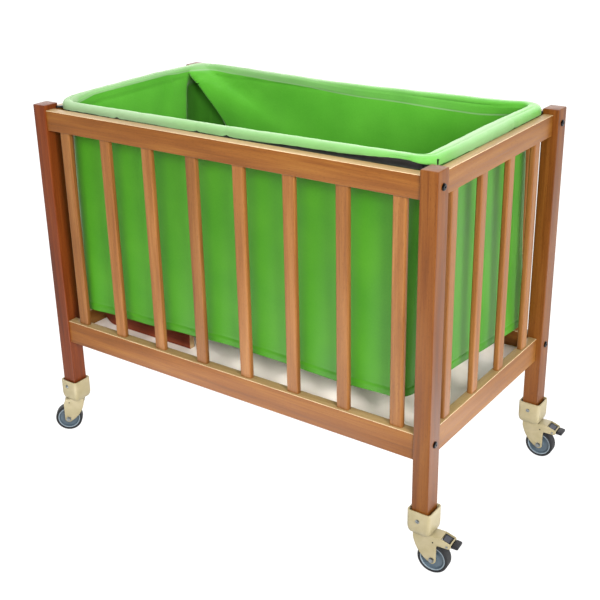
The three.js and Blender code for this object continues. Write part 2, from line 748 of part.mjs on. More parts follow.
function hubGeometry() {
  const outer = WHEEL_DIAMETER / 2 - TYRE_DEPTH - CLEARANCE;
  const half = WHEEL_WIDTH / 2;
  const bore = (AXLE_RADIUS + CLEARANCE) / Math.cos(Math.PI / WHEEL_FACETS);
  return wheelRing(
    mirrored([
      [bore, -half],
      [HUB_BOSS_RADIUS - HUB_BOSS_DRAFT, -half],
      [HUB_BOSS_RADIUS, -HUB_WEB / 2],
      [outer - 2 * HUB_RIM, -HUB_WEB / 2],
      [outer - HUB_RIM, HUB_SETBACK - half],
      [outer, HUB_SETBACK - half],
    ]),
  );
}

// Which way each castor trails at rest, and whether it has a brake
const castorRest = {
  front_left: { degrees: -140, braked: false },
  back_left: { degrees: -90, braked: false },
  front_right: { degrees: 5, braked: true },
  back_right: { degrees: 2, braked: true },
};

function addCastor(corner) {
  const { degrees, braked } = castorRest[corner.name];
  const place = new THREE.Group();
  place.position.set(corner.x, corner.y, 0);
  cot.add(place);
  addPiece("socket_" + corner.name, socketGeometry(), finishes.coating(), place);
  const swivel = new THREE.Group();
  swivel.rotation.z = THREE.MathUtils.degToRad(degrees);
  place.add(swivel);
  addPiece("fork_" + corner.name, forkGeometry(braked), finishes.coating(), swivel);
  if (braked) {
    addPiece("brake_pedal_" + corner.name, pedalGeometry(), finishes.pedal(), swivel);
  }
  const wheel = new THREE.Group();
  wheel.position.set(TRAIL, 0, axleZ);
  swivel.add(wheel);
  addPiece("hub_" + corner.name, hubGeometry(), finishes.hub(), wheel);
  addPiece("tyre_" + corner.name, tyreGeometry(), finishes.tyre(), wheel);
}
corners.forEach(addCastor);

// The origin is on the floor under the middle of the whole cot, castors and pedals included
const bounds = new THREE.Box3().setFromObject(cot);
const middle = bounds.getCenter(new THREE.Vector3());
cot.position.set(-middle.x, -middle.y, -bounds.min.z);

export default cot;
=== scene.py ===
# Slatted wooden hospital cot on castors, with a green liner hung inside it on a black steel frame
import bisect
import math
import random

import bmesh
import bpy
from mathutils import Matrix, Vector, noise


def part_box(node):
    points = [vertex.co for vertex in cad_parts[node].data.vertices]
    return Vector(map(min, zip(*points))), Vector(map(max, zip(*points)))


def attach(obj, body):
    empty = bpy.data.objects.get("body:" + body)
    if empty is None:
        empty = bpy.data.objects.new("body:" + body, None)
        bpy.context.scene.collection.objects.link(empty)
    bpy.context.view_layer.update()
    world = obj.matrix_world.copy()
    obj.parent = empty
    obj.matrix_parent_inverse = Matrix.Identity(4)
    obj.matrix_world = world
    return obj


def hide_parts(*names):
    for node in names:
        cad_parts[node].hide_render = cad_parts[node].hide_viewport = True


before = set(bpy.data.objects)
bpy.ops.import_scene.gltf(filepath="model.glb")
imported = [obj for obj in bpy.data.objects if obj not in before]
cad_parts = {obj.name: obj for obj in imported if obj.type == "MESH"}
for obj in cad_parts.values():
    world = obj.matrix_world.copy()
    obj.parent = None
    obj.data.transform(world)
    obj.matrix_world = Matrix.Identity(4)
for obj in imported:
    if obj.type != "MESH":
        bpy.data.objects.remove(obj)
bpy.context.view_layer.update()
print("frame loaded:", len(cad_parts), "nodes")

mm = 0.001
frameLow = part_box("post_front_left")[0]
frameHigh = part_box("post_back_right")[1]
postTop = frameHigh.z
floorZ = min(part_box("tyre_" + corner)[0].z for corner in ("front_left", "front_right"))
cornerNames = ("front_left", "front_right", "back_left", "back_right")
brakedCorners = ("front_right", "back_right")


# Small tools

def clearSelection():
    if bpy.context.mode != "OBJECT":
        bpy.ops.object.mode_set(mode="OBJECT")
    bpy.ops.object.select_all(action="DESELECT")


def activate(piece):
    clearSelection()
    piece.select_set(True)
    bpy.context.view_layer.objects.active = piece


def applyPlace(piece):
    activate(piece)
    bpy.ops.object.transform_apply(location=True, rotation=True, scale=True)


def addModifier(piece, kind, **settings):
    modifier = piece.modifiers.new(kind.lower(), kind)
    for key, value in settings.items():
        setattr(modifier, key, value)
    activate(piece)
    bpy.ops.object.modifier_apply(modifier=modifier.name)


# Rounds the sharp edges of a piece, by a width in mm
def easeEdges(piece, width, segments=2):
    addModifier(piece, "BEVEL", width=width * mm, segments=segments, limit_method="ANGLE")


def takeNew(name):
    piece = bpy.context.object
    piece.name = name
    return piece


def linkMesh(name, data):
    piece = bpy.data.objects.new(name, data)
    bpy.context.collection.objects.link(piece)
    return piece


def startBox(name, low, high):
    clearSelection()
    bpy.ops.mesh.primitive_cube_add(size=1, location=(Vector(low) + Vector(high)) / 2)
    piece = takeNew(name)
    piece.scale = Vector(high) - Vector(low)
    applyPlace(piece)
    return piece


# A round bar along an axis, centred on a point
def startRound(name, radius, length, centre, axis, sides=48):
    turns = {"x": (0, math.pi / 2, 0), "y": (math.pi / 2, 0, 0), "z": (0, 0, 0)}
    clearSelection()
    bpy.ops.mesh.primitive_cylinder_add(
        vertices=sides, radius=radius, depth=length, location=centre, rotation=turns[axis]
    )
    piece = takeNew(name)
    applyPlace(piece)
    return piece


# Edit mode with only the items that pass a test selected
def pick(piece, kind, test):
    activate(piece)
    bpy.ops.object.mode_set(mode="EDIT")
    bpy.ops.mesh.select_mode(type=kind)
    bpy.ops.mesh.select_all(action="DESELECT")
    mesh = bmesh.from_edit_mesh(piece.data)
    for item in mesh.faces if kind == "FACE" else mesh.edges:
        if test(item):
            item.select_set(True)
    mesh.select_flush_mode()
    bmesh.update_edit_mesh(piece.data)


def pickFaces(piece, test):
    pick(piece, "FACE", lambda face: test(face.calc_center_median(), face.normal))


def pickEdges(piece, test):
    pick(piece, "EDGE", lambda edge: test(edge.verts[0].co, edge.verts[1].co))


def leaveEdit():
    bpy.ops.object.mode_set(mode="OBJECT")


# Rounds the picked edges, by a radius in mm
def roundPicked(radius, segments):
    bpy.ops.mesh.bevel(offset=radius * mm, segments=segments, profile=0.5, affect="EDGES")
    leaveEdit()


# Smooth shading up to an angle, and the materials
def dress(piece, *materials, degrees=32):
    activate(piece)
    bpy.ops.object.shade_smooth_by_angle(angle=math.radians(degrees))
    for material in materials:
        piece.data.materials.append(material)
    return piece


def cleanMesh(piece, within=0.00001):
    activate(piece)
    bpy.ops.object.mode_set(mode="EDIT")
    bpy.ops.mesh.select_all(action="SELECT")
    bpy.ops.mesh.remove_doubles(threshold=within)
    bpy.ops.mesh.normals_make_consistent(inside=False)
    leaveEdit()


def cutAway(piece, *tools):
    for tool in tools:
        addModifier(piece, "BOOLEAN", operation="DIFFERENCE", solver="EXACT", object=tool)
        bpy.data.objects.remove(tool)


def joinInto(piece, *others):
    activate(piece)
    for other in others:
        other.select_set(True)
    bpy.ops.object.join()
    return piece


# A closed line through points of two or three coordinates
def startLoop(name, points):
    clearSelection()
    bpy.ops.curve.primitive_bezier_curve_add()
    loop = takeNew(name)
    loop.data.splines.clear()
    spline = loop.data.splines.new("POLY")
    spline.points.add(len(points) - 1)
    for knot, point in zip(spline.points, points):
        knot.co = (*point, *[0] * (3 - len(point)), 1)
    spline.use_cyclic_u = True
    return loop


# A flat outline in the XZ plane, given a width across Y with rounded rims
def startPlate(name, points, width, rim=0.0, steps=3, upright=True):
    plate = startLoop(name, points)
    plate.data.dimensions = "2D"
    plate.data.fill_mode = "BOTH"
    plate.data.extrude = width / 2 - rim
    plate.data.bevel_depth = rim
    plate.data.bevel_resolution = steps
    plate.data.offset = -rim
    activate(plate)
    bpy.ops.object.convert(target="MESH")
    if upright:
        plate.rotation_euler = (math.pi / 2, 0, 0)
    applyPlace(plate)
    cleanMesh(plate)
    return plate


def arcPoints(centre, radius, fromDegrees, toDegrees, count):
    spread = (toDegrees - fromDegrees) / count
    angles = [math.radians(fromDegrees + spread * k) for k in range(count + 1)]
    return [(centre[0] + radius * math.cos(a), centre[1] + radius * math.sin(a)) for a in angles]


def curvePoints(start, control, end, count):
    found = []
    for k in range(count + 1):
        t = k / count
        weights = ((1 - t) ** 2, 2 * t * (1 - t), t * t)
        found.append(tuple(sum(w * p[i] for w, p in zip(weights, (start, control, end))) for i in (0, 1)))
    return found


# Smooth passage through a few (place, value) pairs
def along(pairs, t):
    if t <= pairs[0][0]:
        return pairs[0][1]
    for (t0, v0), (t1, v1) in zip(pairs, pairs[1:]):
        if t <= t1:
            share = (t - t0) / (t1 - t0)
            return v0 + (v1 - v0) * share * share * (3 - 2 * share)
    return pairs[-1][1]


def copyPiece(source, name, matrix):
    copy = source.copy()
    copy.data = source.data.copy()
    copy.name = name
    copy.data.name = name
    copy.data.transform(matrix)
    bpy.context.collection.objects.link(copy)
    return copy


def settle(piece, body, slot, *nodes):
    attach(piece, body)
    if nodes:
        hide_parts(*nodes)


# Materials

def srgb(code):
    channels = [int(code[i:i + 2], 16) / 255 for i in (1, 3, 5)]
    linear = [c / 12.92 if c <= 0.04045 else ((c + 0.055) / 1.055) ** 2.4 for c in channels]
    return (*linear, 1.0)


def addNode(tree, kind, settings=None, links=None):
    node = tree.nodes.new(kind)
    for key, value in (settings or {}).items():
        if isinstance(key, int) or key in node.inputs:
            node.inputs[key].default_value = value
        else:
            setattr(node, key, value)
    for key, source in (links or {}).items():
        tree.links.new(source, node.inputs[key])
    return node


def newMaterial(name):
    material = bpy.data.materials.new(name)
    material.use_nodes = True
    material.node_tree.nodes.clear()
    return material, material.node_tree


def closeMaterial(tree, settings, links):
    shader = addNode(tree, "ShaderNodeBsdfPrincipled", settings, links)
    addNode(tree, "ShaderNodeOutputMaterial", None, {"Surface": shader.outputs["BSDF"]})


# Noise with features of a size in mm, on the piece's own coordinates unless others are given
def cloudOf(tree, size, detail, place=None):
    place = place or addNode(tree, "ShaderNodeTexCoord").outputs["Object"]
    settings = {"Scale": 1 / (size * mm), "Detail": detail}
    return addNode(tree, "ShaderNodeTexNoise", settings, {"Vector": place}).outputs["Fac"]


def attributeOf(tree, name):
    return addNode(tree, "ShaderNodeAttribute", {"attribute_name": name}).outputs["Fac"]


def spreadOf(tree, value, low, high, start=0.0, end=1.0, kind="LINEAR"):
    settings = {"From Min": start, "From Max": end, "To Min": low, "To Max": high, "interpolation_type": kind}
    return addNode(tree, "ShaderNodeMapRange", settings, {"Value": value}).outputs[0]


def mathOf(tree, operation, links, settings=None):
    return addNode(tree, "ShaderNodeMath", {"operation": operation, **(settings or {})}, links).outputs[0]


def blendOf(tree, amount, low, high):
    return addNode(tree, "ShaderNodeMix", {"data_type": "FLOAT", 0: amount}, {2: low, 3: high}).outputs[0]


def tintOf(tree, amount, colour, code, blend="MIX"):
    settings = {"data_type": "RGBA", "blend_type": blend, 7: srgb(code)}
    return addNode(tree, "ShaderNodeMix", settings, {0: amount, 6: colour}).outputs[2]


def rampOf(tree, value, *stops):
    ramp = addNode(tree, "ShaderNodeValToRGB", None, {"Fac": value})
    elements = ramp.color_ramp.elements
    while len(elements) < len(stops):
        elements.new(0.5)
    for element, (place, code) in zip(elements, stops):
        element.position = place
        element.color = srgb(code)
    return ramp.outputs["Color"]


# Relief of a depth in mm
def bumpOf(tree, height, strength, depth):
    settings = {"Strength": strength, "Distance": depth * mm}
    return addNode(tree, "ShaderNodeBump", settings, {"Height": height}).outputs["Normal"]


# Satin lacquer over straight-grained hardwood: soft stripes along the piece, short dark pores, a low sheen
woodGrain = {
    "streak": (3.2, 150),    # mm across and along the piece, one grain stripe
    "band": (26, 420),       # broad change of tone
    "pore": (1.1, 11),       # real pores are a quarter of this and would not show
    "streakShare": 0.42,     # of the tone, beside the band
    "poreRange": (0.6, 0.72),
    "poreShare": 0.34,
    "poreTone": "#6b4a35",
    "plankShade": (0.91, 1.09),      # from plank to plank
    "bumpHeight": 0.05,
}


def lacqueredWood(name, grainAxis, dark, middle, light, roughness=0.45):
    material, tree = newMaterial(name)
    place = addNode(tree, "ShaderNodeTexCoord").outputs["Object"]
    plank = attributeOf(tree, "plank")
    settings = {"operation": "SCALE", 0: (0.71, 0.43, 0.57)}        # moves each plank to its own grain
    jump = addNode(tree, "ShaderNodeVectorMath", settings, {"Scale": plank})
    moved = addNode(tree, "ShaderNodeVectorMath", {"operation": "ADD"}, {0: place, 1: jump.outputs[0]})

    def grainOf(key, **settings):
        across, length = woodGrain[key]
        values = [1 / (across * mm)] * 3
        values["xyz".index(grainAxis)] = 1 / (length * mm)
        drawn = addNode(tree, "ShaderNodeMapping", {"Scale": values}, {"Vector": moved.outputs[0]})
        settings = {"Scale": 1, **settings}
        return addNode(tree, "ShaderNodeTexNoise", settings, {"Vector": drawn.outputs[0]}).outputs["Fac"]

    band = grainOf("band", Detail=2, Distortion=0.6)
    streak = grainOf("streak", Detail=4, Roughness=0.62)
    pores = spreadOf(tree, grainOf("pore", Detail=1), 0, woodGrain["poreShare"], *woodGrain["poreRange"])
    mixed = blendOf(tree, woodGrain["streakShare"], band, streak)
    tone = rampOf(tree, mixed, (0.34, dark), (0.5, middle), (0.66, light))
    porous = tintOf(tree, pores, tone, woodGrain["poreTone"], "MULTIPLY")
    shade = spreadOf(tree, plank, *woodGrain["plankShade"])
    tinted = addNode(tree, "ShaderNodeHueSaturation", None, {"Value": shade, "Color": porous})
    closeMaterial(tree, {"IOR": 1.5, "Specular IOR Level": 0.24}, {
        "Base Color": tinted.outputs["Color"],
        "Roughness": spreadOf(tree, streak, roughness - 0.07, roughness + 0.08, 0.3, 0.7),
        "Normal": bumpOf(tree, mathOf(tree, "SUBTRACT", {0: streak, 1: pores}), 0.5, woodGrain["bumpHeight"]),
    })
    return material


# Plain finish: tone and gloss drift over patches of a size and detail. A grain adds a strength and a depth.
def plainFinish(name, low, high, patch, gloss=None, grain=None, edge=0.3, shader=None):
    material, tree = newMaterial(name)
    tone = cloudOf(tree, *patch)
    links = {"Base Color": rampOf(tree, tone, (edge, low), (1 - edge, high))}
    if gloss:
        links["Roughness"] = spreadOf(tree, tone, *gloss)
    if grain:
        links["Normal"] = bumpOf(tree, cloudOf(tree, *grain[:2]), *grain[2:])
    closeMaterial(tree, shader or {}, links)
    return material


# Powder coat on pressed steel: even colour, slight orange peel, half gloss
def powderCoat(name, low, high, roughness):
    gloss = (roughness - 0.08, roughness + 0.08)
    return plainFinish(name, low, high, (24, 3), gloss, (1.6, 2, 0.35, 0.08), 0.32, {"IOR": 1.5})


# Moulded plastic or rubber: matte, with a fine spark-eroded grain
def moulded(name, low, high, roughness, grain=0.9, depth=0.05, shine=0.5):
    gloss = (roughness - 0.1, roughness + 0.1)
    shader = {"IOR": 1.48, "Specular IOR Level": shine}
    return plainFinish(name, low, high, (18, 3), gloss, (grain, 3, 0.4, depth), shader=shader)


# Bright zinc plate or black oxide on steel: metal with a cloudy gloss
def platedSteel(name, low, high, roughness):
    return plainFinish(name, low, high, (4, 4), (roughness - 0.1, roughness + 0.12), shader={"Metallic": 1.0})


# Coated nylon: plain weave under a thin coat, soft highlights on folds, a pale bloom at grazing angles. A
# painted highlight pales the cuffs, and painted shade darkens the corner's pocket.
cloth = {
    "thread": 1.3,           # mm; real threads are a quarter of this and would not show
    "cloud": 140,
    "speck": 5,
    "paintedHighlight": 0.8,           # share of the painted highlight's pale tone on the cuffs
    "highlightTone": "#85967b",
    "highlightDull": 0.3,       # added roughness there
    "pocketShadeTone": "#16380a",   # painted shade: the dark green of the shadow in the corner's pocket
}


def coatedNylon(name, low, high, roughness, shadeWeight):
    material, tree = newMaterial(name)
    flat = addNode(tree, "ShaderNodeUVMap", {"uv_map": "flatCloth"}).outputs[0]
    turns = 2 * math.pi / 20 / (cloth["thread"] * mm)      # a band texture repeats every 2 pi / 20

    def threads(way):
        settings = {"bands_direction": way, "Scale": turns}
        return addNode(tree, "ShaderNodeTexWave", settings, {"Vector": flat}).outputs["Fac"]

    tone = blendOf(tree, 0.3, *(cloudOf(tree, cloth[key], 3, flat) for key in ("cloud", "speck")))
    # painted highlight: the cuffs are mixed towards a pale tone where light grazes them, and made a little
    # rougher
    highlit = attributeOf(tree, "paintedHighlight")
    # painted shade: the back left corner's pocket is darkened towards a deep green, on the coated face only
    paintedShade = mathOf(tree, "MULTIPLY", {0: attributeOf(tree, "pocketShade")}, {1: shadeWeight})
    colour = rampOf(tree, tone, (0.34, low), (0.66, high))
    highlightShare = mathOf(tree, "MULTIPLY", {0: highlit}, {1: cloth["paintedHighlight"]})
    colour = tintOf(tree, highlightShare, colour, cloth["highlightTone"])
    gloss = spreadOf(tree, tone, roughness - 0.06, roughness + 0.1)
    sheen = {"Sheen Weight": 0.25, "Sheen Roughness": 0.4, "Sheen Tint": srgb("#d8f0c8")}
    closeMaterial(tree, {"IOR": 1.48, "Specular IOR Level": 0.3, **sheen}, {
        "Base Color": tintOf(tree, paintedShade, colour, cloth["pocketShadeTone"]),
        "Roughness": mathOf(tree, "MULTIPLY_ADD", {0: highlit, 2: gloss}, {1: cloth["highlightDull"]}),
        "Normal": bumpOf(tree, mathOf(tree, "ADD", {0: threads("X"), 1: threads("Y")}), 0.25, 0.12),
    })
    return material


# Painted highlight: paler tones for the rails' upward faces, where light falls on them
litRailTopTones = ("#7d6440", "#8c724b", "#988059")
postWood = lacqueredWood("stained_beech_post", "z", "#492508", "#5c320d", "#693f16")
darkPostWood = lacqueredWood("stained_beech_dark_post", "z", "#441a05", "#572509", "#642f0e")
sideRailWood = lacqueredWood("lacquered_beech_side_rail", "x", "#562f0a", "#683c11", "#764b1a")
endRailWood = lacqueredWood("lacquered_beech_end_rail", "y", "#5d360f", "#704518", "#7e5523")
slatWood = lacqueredWood("lacquered_beech_slat", "z", "#603a19", "#714720", "#7f562d")
sideRailLitTop = lacqueredWood("beech_side_rail_top_painted_highlight", "x", *litRailTopTones)
endRailLitTop = lacqueredWood("beech_end_rail_top_painted_highlight", "y", *litRailTopTones)
# painted highlight: a pale wood for the rounded top arrises, a thin line of light
arrisHighlightWood = lacqueredWood("beech_arris_painted_highlight", "x", "#c4ac8a", "#d2bd9c", "#dfcdb0", 0.5)
bearerWood = lacqueredWood("oiled_redwood_bearer", "x", "#531f10", "#6b2c18", "#7c3a21", 0.55)
endGrainWood = lacqueredWood("raw_end_grain", "x", "#8c6e4a", "#a0825c", "#b0926c", 0.7)
# white melamine over chipboard is even, faintly mottled and half glossy
whiteBoard = plainFinish("white_melamine", "#f6e8dc", "#fcf0e6", (60, 3), (0.26, 0.42), (1.5, 2, 0.15, 0.03),
                         shader={"IOR": 1.5})
blackTube = powderCoat("black_powder_coat", "#151515", "#202020", 0.5)
creamSteel = powderCoat("cream_powder_coat", "#807657", "#8a8064", 0.45)
tyreRubber = moulded("grey_thermoplastic_rubber", "#1e1f20", "#262628", 0.6, shine=0.2)
hubPlastic = moulded("blue_grey_polypropylene", "#39454e", "#44515a", 0.42)
rimPlastic = moulded("pale_grey_polypropylene", "#626d74", "#727d84", 0.4)
pedalPlastic = moulded("charcoal_nylon", "#131315", "#1b1b1e", 0.5, shine=0.25)
padPlastic = moulded("slate_nylon_pad", "#2b2d34", "#363840", 0.5, 1.4, 0.12, 0.3)
zincSteel = platedSteel("bright_zinc", "#7c8183", "#969b9d", 0.34)
blackBolt = platedSteel("black_oxide_steel", "#1b1c1e", "#2c2d30", 0.38)
greenNylon = coatedNylon("green_coated_nylon", "#418623", "#4c922b", 0.32, 1.0)
# The liner's back face, outside it, is duller; its darker green is painted shade for the outside behind the
# rails and slats
greenBackShaded = coatedNylon("green_nylon_back_painted_shade", "#306d0d", "#3b7712", 0.5, 0.0)
greenThread = moulded("pale_green_thread", "#79c25c", "#93d277", 0.6)
print("materials made")


# Camera at the photograph's viewpoint, soft light and a pale floor
shot = {
    "place": (1.58605, -2.19862, 1.64466),
    "azimuth": 36.9,
    "elevation": 22.0,
    "roll": -1.6,
    "focalPixels": 1051,
    "imagePixels": 600,
    "middlePixel": (278, 271),
}


def addCamera():
    turn, lift, tilt = (math.radians(shot[key]) for key in ("azimuth", "elevation", "roll"))
    back = Vector((math.sin(turn) * math.cos(lift), -math.cos(turn) * math.cos(lift), math.sin(lift)))
    right = Vector((0, 0, 1)).cross(back).normalized()
    up = back.cross(right)
    right, up = (right * math.cos(tilt) + up * math.sin(tilt), up * math.cos(tilt) - right * math.sin(tilt))
    camera = bpy.data.cameras.new("photo_view")
    size = shot["imagePixels"]
    camera.sensor_width = 36
    camera.lens = shot["focalPixels"] / size * camera.sensor_width
    camera.shift_x = (size / 2 - shot["middlePixel"][0]) / size
    camera.shift_y = (shot["middlePixel"][1] - size / 2) / size
    viewer = bpy.data.objects.new("photo_view", camera)
    bpy.context.scene.collection.objects.link(viewer)
    viewer.matrix_world = Matrix((right, up, back)).transposed().to_4x4()
    viewer.location = shot["place"]
    bpy.context.scene.camera = viewer


studio = {
    "dim": 0.25,             # world light from the front
    "bright": 2.8,           # and from low behind on the left, where it grazes the rails and the cuffs
    "brightFrom": (-0.46, 0.72, 0.52),
    "brightEdge": 0.1,
    "paperGlow": 0.92,       # the paper is lit through, so no shadow greys it
    "softBoxes": [
        {"name": "key", "place": (1.1, -3.6, 2.8), "size": (3.2, 1.6), "power": 165},
        {"name": "overhead", "place": (0.1, 0.0, 2.7), "size": (1.4, 1.4), "power": 16},
        {"name": "right_side", "place": (3.0, -1.95, 1.9), "size": (1.2, 1.2), "power": 205},
    ],
    "aim": (0, 0, 0.6),
    "cards": [               # lit cards on the floor, mirrored by the right faces and by the low front ones
        {"name": "card_right", "place": (2.5, 2.2, 0.02), "size": 2.4, "glow": 1.8},
        {"name": "card_front", "place": (-0.2, -0.98, 0.02), "size": 1.0, "glow": 3.2},
        {"name": "card_side", "place": (1.25, 0.1, 0.02), "size": 0.9, "glow": 3.0},
    ],
}


def glowing(strength):
    return {"Roughness": 0.9, "Emission Color": (1, 1, 1, 1), "Emission Strength": strength}


def addPaper(name, size, place, material):
    clearSelection()
    bpy.ops.mesh.primitive_plane_add(size=size, location=place)
    paper = takeNew(name)
    applyPlace(paper)
    paper.data.materials.append(material)


def addWorld():
    world = bpy.data.worlds.new("soft_studio")
    world.use_nodes = True
    bpy.context.scene.world = world
    tree = world.node_tree
    tree.nodes.clear()
    place = addNode(tree, "ShaderNodeTexCoord").outputs["Generated"]
    settings = {"operation": "DOT_PRODUCT", 1: studio["brightFrom"]}
    facing = addNode(tree, "ShaderNodeVectorMath", settings, {0: place})
    reach = (studio["dim"], studio["bright"], studio["brightEdge"], 1)
    level = spreadOf(tree, facing.outputs["Value"], *reach, "SMOOTHSTEP")
    sky = addNode(tree, "ShaderNodeBackground", {"Color": (1, 1, 1, 1)}, {"Strength": level})
    addNode(tree, "ShaderNodeOutputWorld", None, {"Surface": sky.outputs[0]})


def addSoftBox(box):
    lamp = bpy.data.lights.new(box["name"], "AREA")
    lamp.energy = box["power"]
    lamp.shape = "RECTANGLE"
    lamp.size, lamp.size_y = box["size"]
    holder = bpy.data.objects.new(box["name"], lamp)
    bpy.context.scene.collection.objects.link(holder)
    holder.location = box["place"]
    holder.visible_glossy = False
    aim = Vector(studio["aim"]) - Vector(box["place"])
    holder.rotation_euler = aim.to_track_quat("-Z", "Y").to_euler()


def addStudio():
    lit = glowing(studio["paperGlow"])
    paper = plainFinish("matte_paper_floor", "#646464", "#686868", (300, 2), shader=lit)
    addPaper("studio_floor", 30, (0, 0, floorZ), paper)
    addWorld()
    for card in studio["cards"]:
        material, tree = newMaterial("lit_" + card["name"])
        closeMaterial(tree, glowing(card["glow"]), {})
        addPaper(card["name"], card["size"], card["place"], material)
    for box in studio["softBoxes"]:
        addSoftBox(box)
    bpy.context.scene.view_settings.view_transform = "Standard"


addCamera()
addStudio()
print("camera, floor and light placed")


# Posts, rails and slats: planed bars with routed edges
timber = {"edgeRound": 1.8, "slatRound": 4.5, "postRound": 3.0, "roundSteps": 4, "seed": 11}
planks = random.Random(timber["seed"])


def markPlank(piece):
    mark = piece.data.attributes.new("plank", "FLOAT", "POINT")
    mark.data.foreach_set("value", [planks.random()] * len(piece.data.vertices))


# The woods are those of the bar, of its top and of its arrises; top and arrises take paler woods, a painted
# highlight where light falls on them
def addBar(node, grainAxis, edgeRound, slot, woods, roundTop=False):
    low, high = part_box(node)
    bar = startBox(node + "_bar", low, high)
    axis = "xyz".index(grainAxis)

    def isLong(a, b):
        lengthwise = abs((a - b)[axis]) > max(abs((a - b)[(axis + k) % 3]) for k in (1, 2))
        onTop = roundTop and min(a.z, b.z) > high.z - 0.001
        return lengthwise or onTop

    pickEdges(bar, isLong)
    roundPicked(edgeRound, timber["roundSteps"])
    dress(bar, *woods)
    markPlank(bar)
    # painted highlight: faces turned up take the pale top wood, sloping arrises the paler arris wood
    for face in bar.data.polygons if len(woods) > 1 else ():
        face.material_index = 1 if face.normal.z > 0.8 else 2 if face.normal.z > 0.3 else 0
    settle(bar, "cot_frame", slot, node)


for corner in cornerNames:
    wood = darkPostWood if corner == "front_left" else postWood
    addBar("post_" + corner, "z", timber["postRound"], "post_wood", [wood], True)
for sides, axis, woods in (
    (("front", "back"), "x", [sideRailWood, sideRailLitTop, arrisHighlightWood]),
    (("left", "right"), "y", [endRailWood, endRailLitTop, arrisHighlightWood]),
):
    for side in sides:
        addBar("top_rail_" + side, axis, timber["edgeRound"], "rail_wood", woods)
        addBar("bottom_rail_" + side, axis, timber["edgeRound"], "rail_wood", woods)
for side, count in (("front", 8), ("back", 8), ("left", 4), ("right", 4)):
    for number in range(1, count + 1):
        addBar(f"slat_{side}_{number}", "z", timber["slatRound"], "slat_wood", [slatWood])
print("timber made")


# Button-head bolts through the posts into the ends of the long rails
frameBolt = {
    "radius": 8.5,
    "height": 4.5,
    "dome": 3.2,
    "land": 1.1,             # flat ring round the hexagon socket
    "socket": 2.9,
    "socketDepth": 2.4,
    "lift": {"top": 4, "bottom": 12},      # over the rail's middle
}


def makeFrameBolt():
    top = frameBolt["height"] * mm
    bolt = startRound("frame_bolt", frameBolt["radius"] * mm, top, (0, 0, top / 2), "z", 36)
    pickEdges(bolt, lambda a, b: min(a.z, b.z) > top - 0.0001 and abs(a.z - b.z) < 0.0001)
    roundPicked(frameBolt["dome"], 5)
    pickFaces(bolt, lambda centre, normal: normal.z > 0.99)
    bpy.ops.mesh.inset(thickness=frameBolt["land"] * mm)
    depth = frameBolt["socketDepth"] * 2 * mm
    cutAway(bolt, startRound("recess", frameBolt["socket"] * mm, depth, (0, 0, top), "z", 6))
    return dress(bolt, blackBolt)


def addFrameBolts():
    pattern = makeFrameBolt()
    for side, outward, face in (("left", -1, frameLow.x), ("right", 1, frameHigh.x)):
        turn = Matrix.Rotation(outward * math.pi / 2, 4, "Y")
        for run in ("front", "back"):
            for level in ("top", "bottom"):
                low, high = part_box(f"{level}_rail_{run}")
                middle = (low + high) / 2
                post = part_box(f"post_{run}_{side}")
                spot = Vector((face, (post[0].y + post[1].y) / 2, middle.z + frameBolt["lift"][level] * mm))
                bolt = copyPiece(pattern, f"frame_bolt_{run}_{side}_{level}", Matrix.Translation(spot) @ turn)
                settle(bolt, "cot_frame", "black_steel")
    bpy.data.objects.remove(pattern)


addFrameBolts()
print("frame bolts made")


# White board on the bottom rails, notched round the posts
board = {"edgeRound": 1.2, "notchPlay": 0.5}


def addBoard():
    low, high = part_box("base_board")
    sheet = startBox("base_board_panel", low, high)
    play = Vector((1, 1, 0)) * board["notchPlay"] * mm
    notches = []
    for corner in cornerNames:
        postLow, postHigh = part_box("post_" + corner)
        notches.append(startBox("notch", postLow - play, postHigh + play))
    cutAway(sheet, *notches)
    easeEdges(sheet, board["edgeRound"])
    dress(sheet, whiteBoard)
    settle(sheet, "cot_frame", "white_board", "base_board")


# Bearers on the board, each with its lower left corner rounded; the right end shows sawn end grain
bearer = {"cornerRound": 40, "edgeRound": 1.5}


def addBearer(node):
    low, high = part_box(node)
    radius = bearer["cornerRound"] * mm
    outline = arcPoints((low.x + radius, low.z + radius), radius, 180, 270, 14)
    outline += [(high.x, low.z), (high.x, high.z), (low.x, high.z)]
    batten = startPlate(node + "_batten", outline, high.y - low.y, bearer["edgeRound"] * mm)
    batten.location.y = (low.y + high.y) / 2
    applyPlace(batten)
    dress(batten, bearerWood, endGrainWood)
    markPlank(batten)
    for face in batten.data.polygons:
        face.material_index = 1 if face.normal.x > 0.9 else 0
    settle(batten, "cot_frame", "bearer_wood", node)


addBoard()
addBearer("bearer_front")
addBearer("bearer_back")
print("board and bearers made")


# Liner frame: one tube in a loop, with a bracket to each post. Loops in plan have four corners, anticlockwise
# from the front left, each with a bend.
linerFrame = {
    "inset": {"left": 58, "right": 62, "front": 60, "back": 48},
    "tubeRadius": 11,
    "tubeDepth": 18,         # of its lower half
    "drop": 4,               # of its middle, below the posts' tops
    "sag": 4.5,              # more than that at the front left corner
    "backSag": 2,            # for each of the back's three knots, in from its ends
    "knots": (0.15, 0.3, 0.45),
    "bend": 34,
    "gusset": 5,
    "gussetRim": 0.6,
    "gussetShare": 0.8,      # of the tube's width
    "bracketDrop": 7,
    "flange": (4, 8),
    "flangeRound": 0.8,
    "play": 0.3,             # from a bracket to the post and the rail
    "facets": 8,
}
tubeZ = postTop - linerFrame["drop"] * mm


def planCorner(fromLeft, fromFront, leftSide, frontSide):
    x = frameLow.x + fromLeft * mm if leftSide else frameHigh.x - fromLeft * mm
    y = frameLow.y + fromFront * mm if frontSide else frameHigh.y - fromFront * mm
    return Vector((x, y))


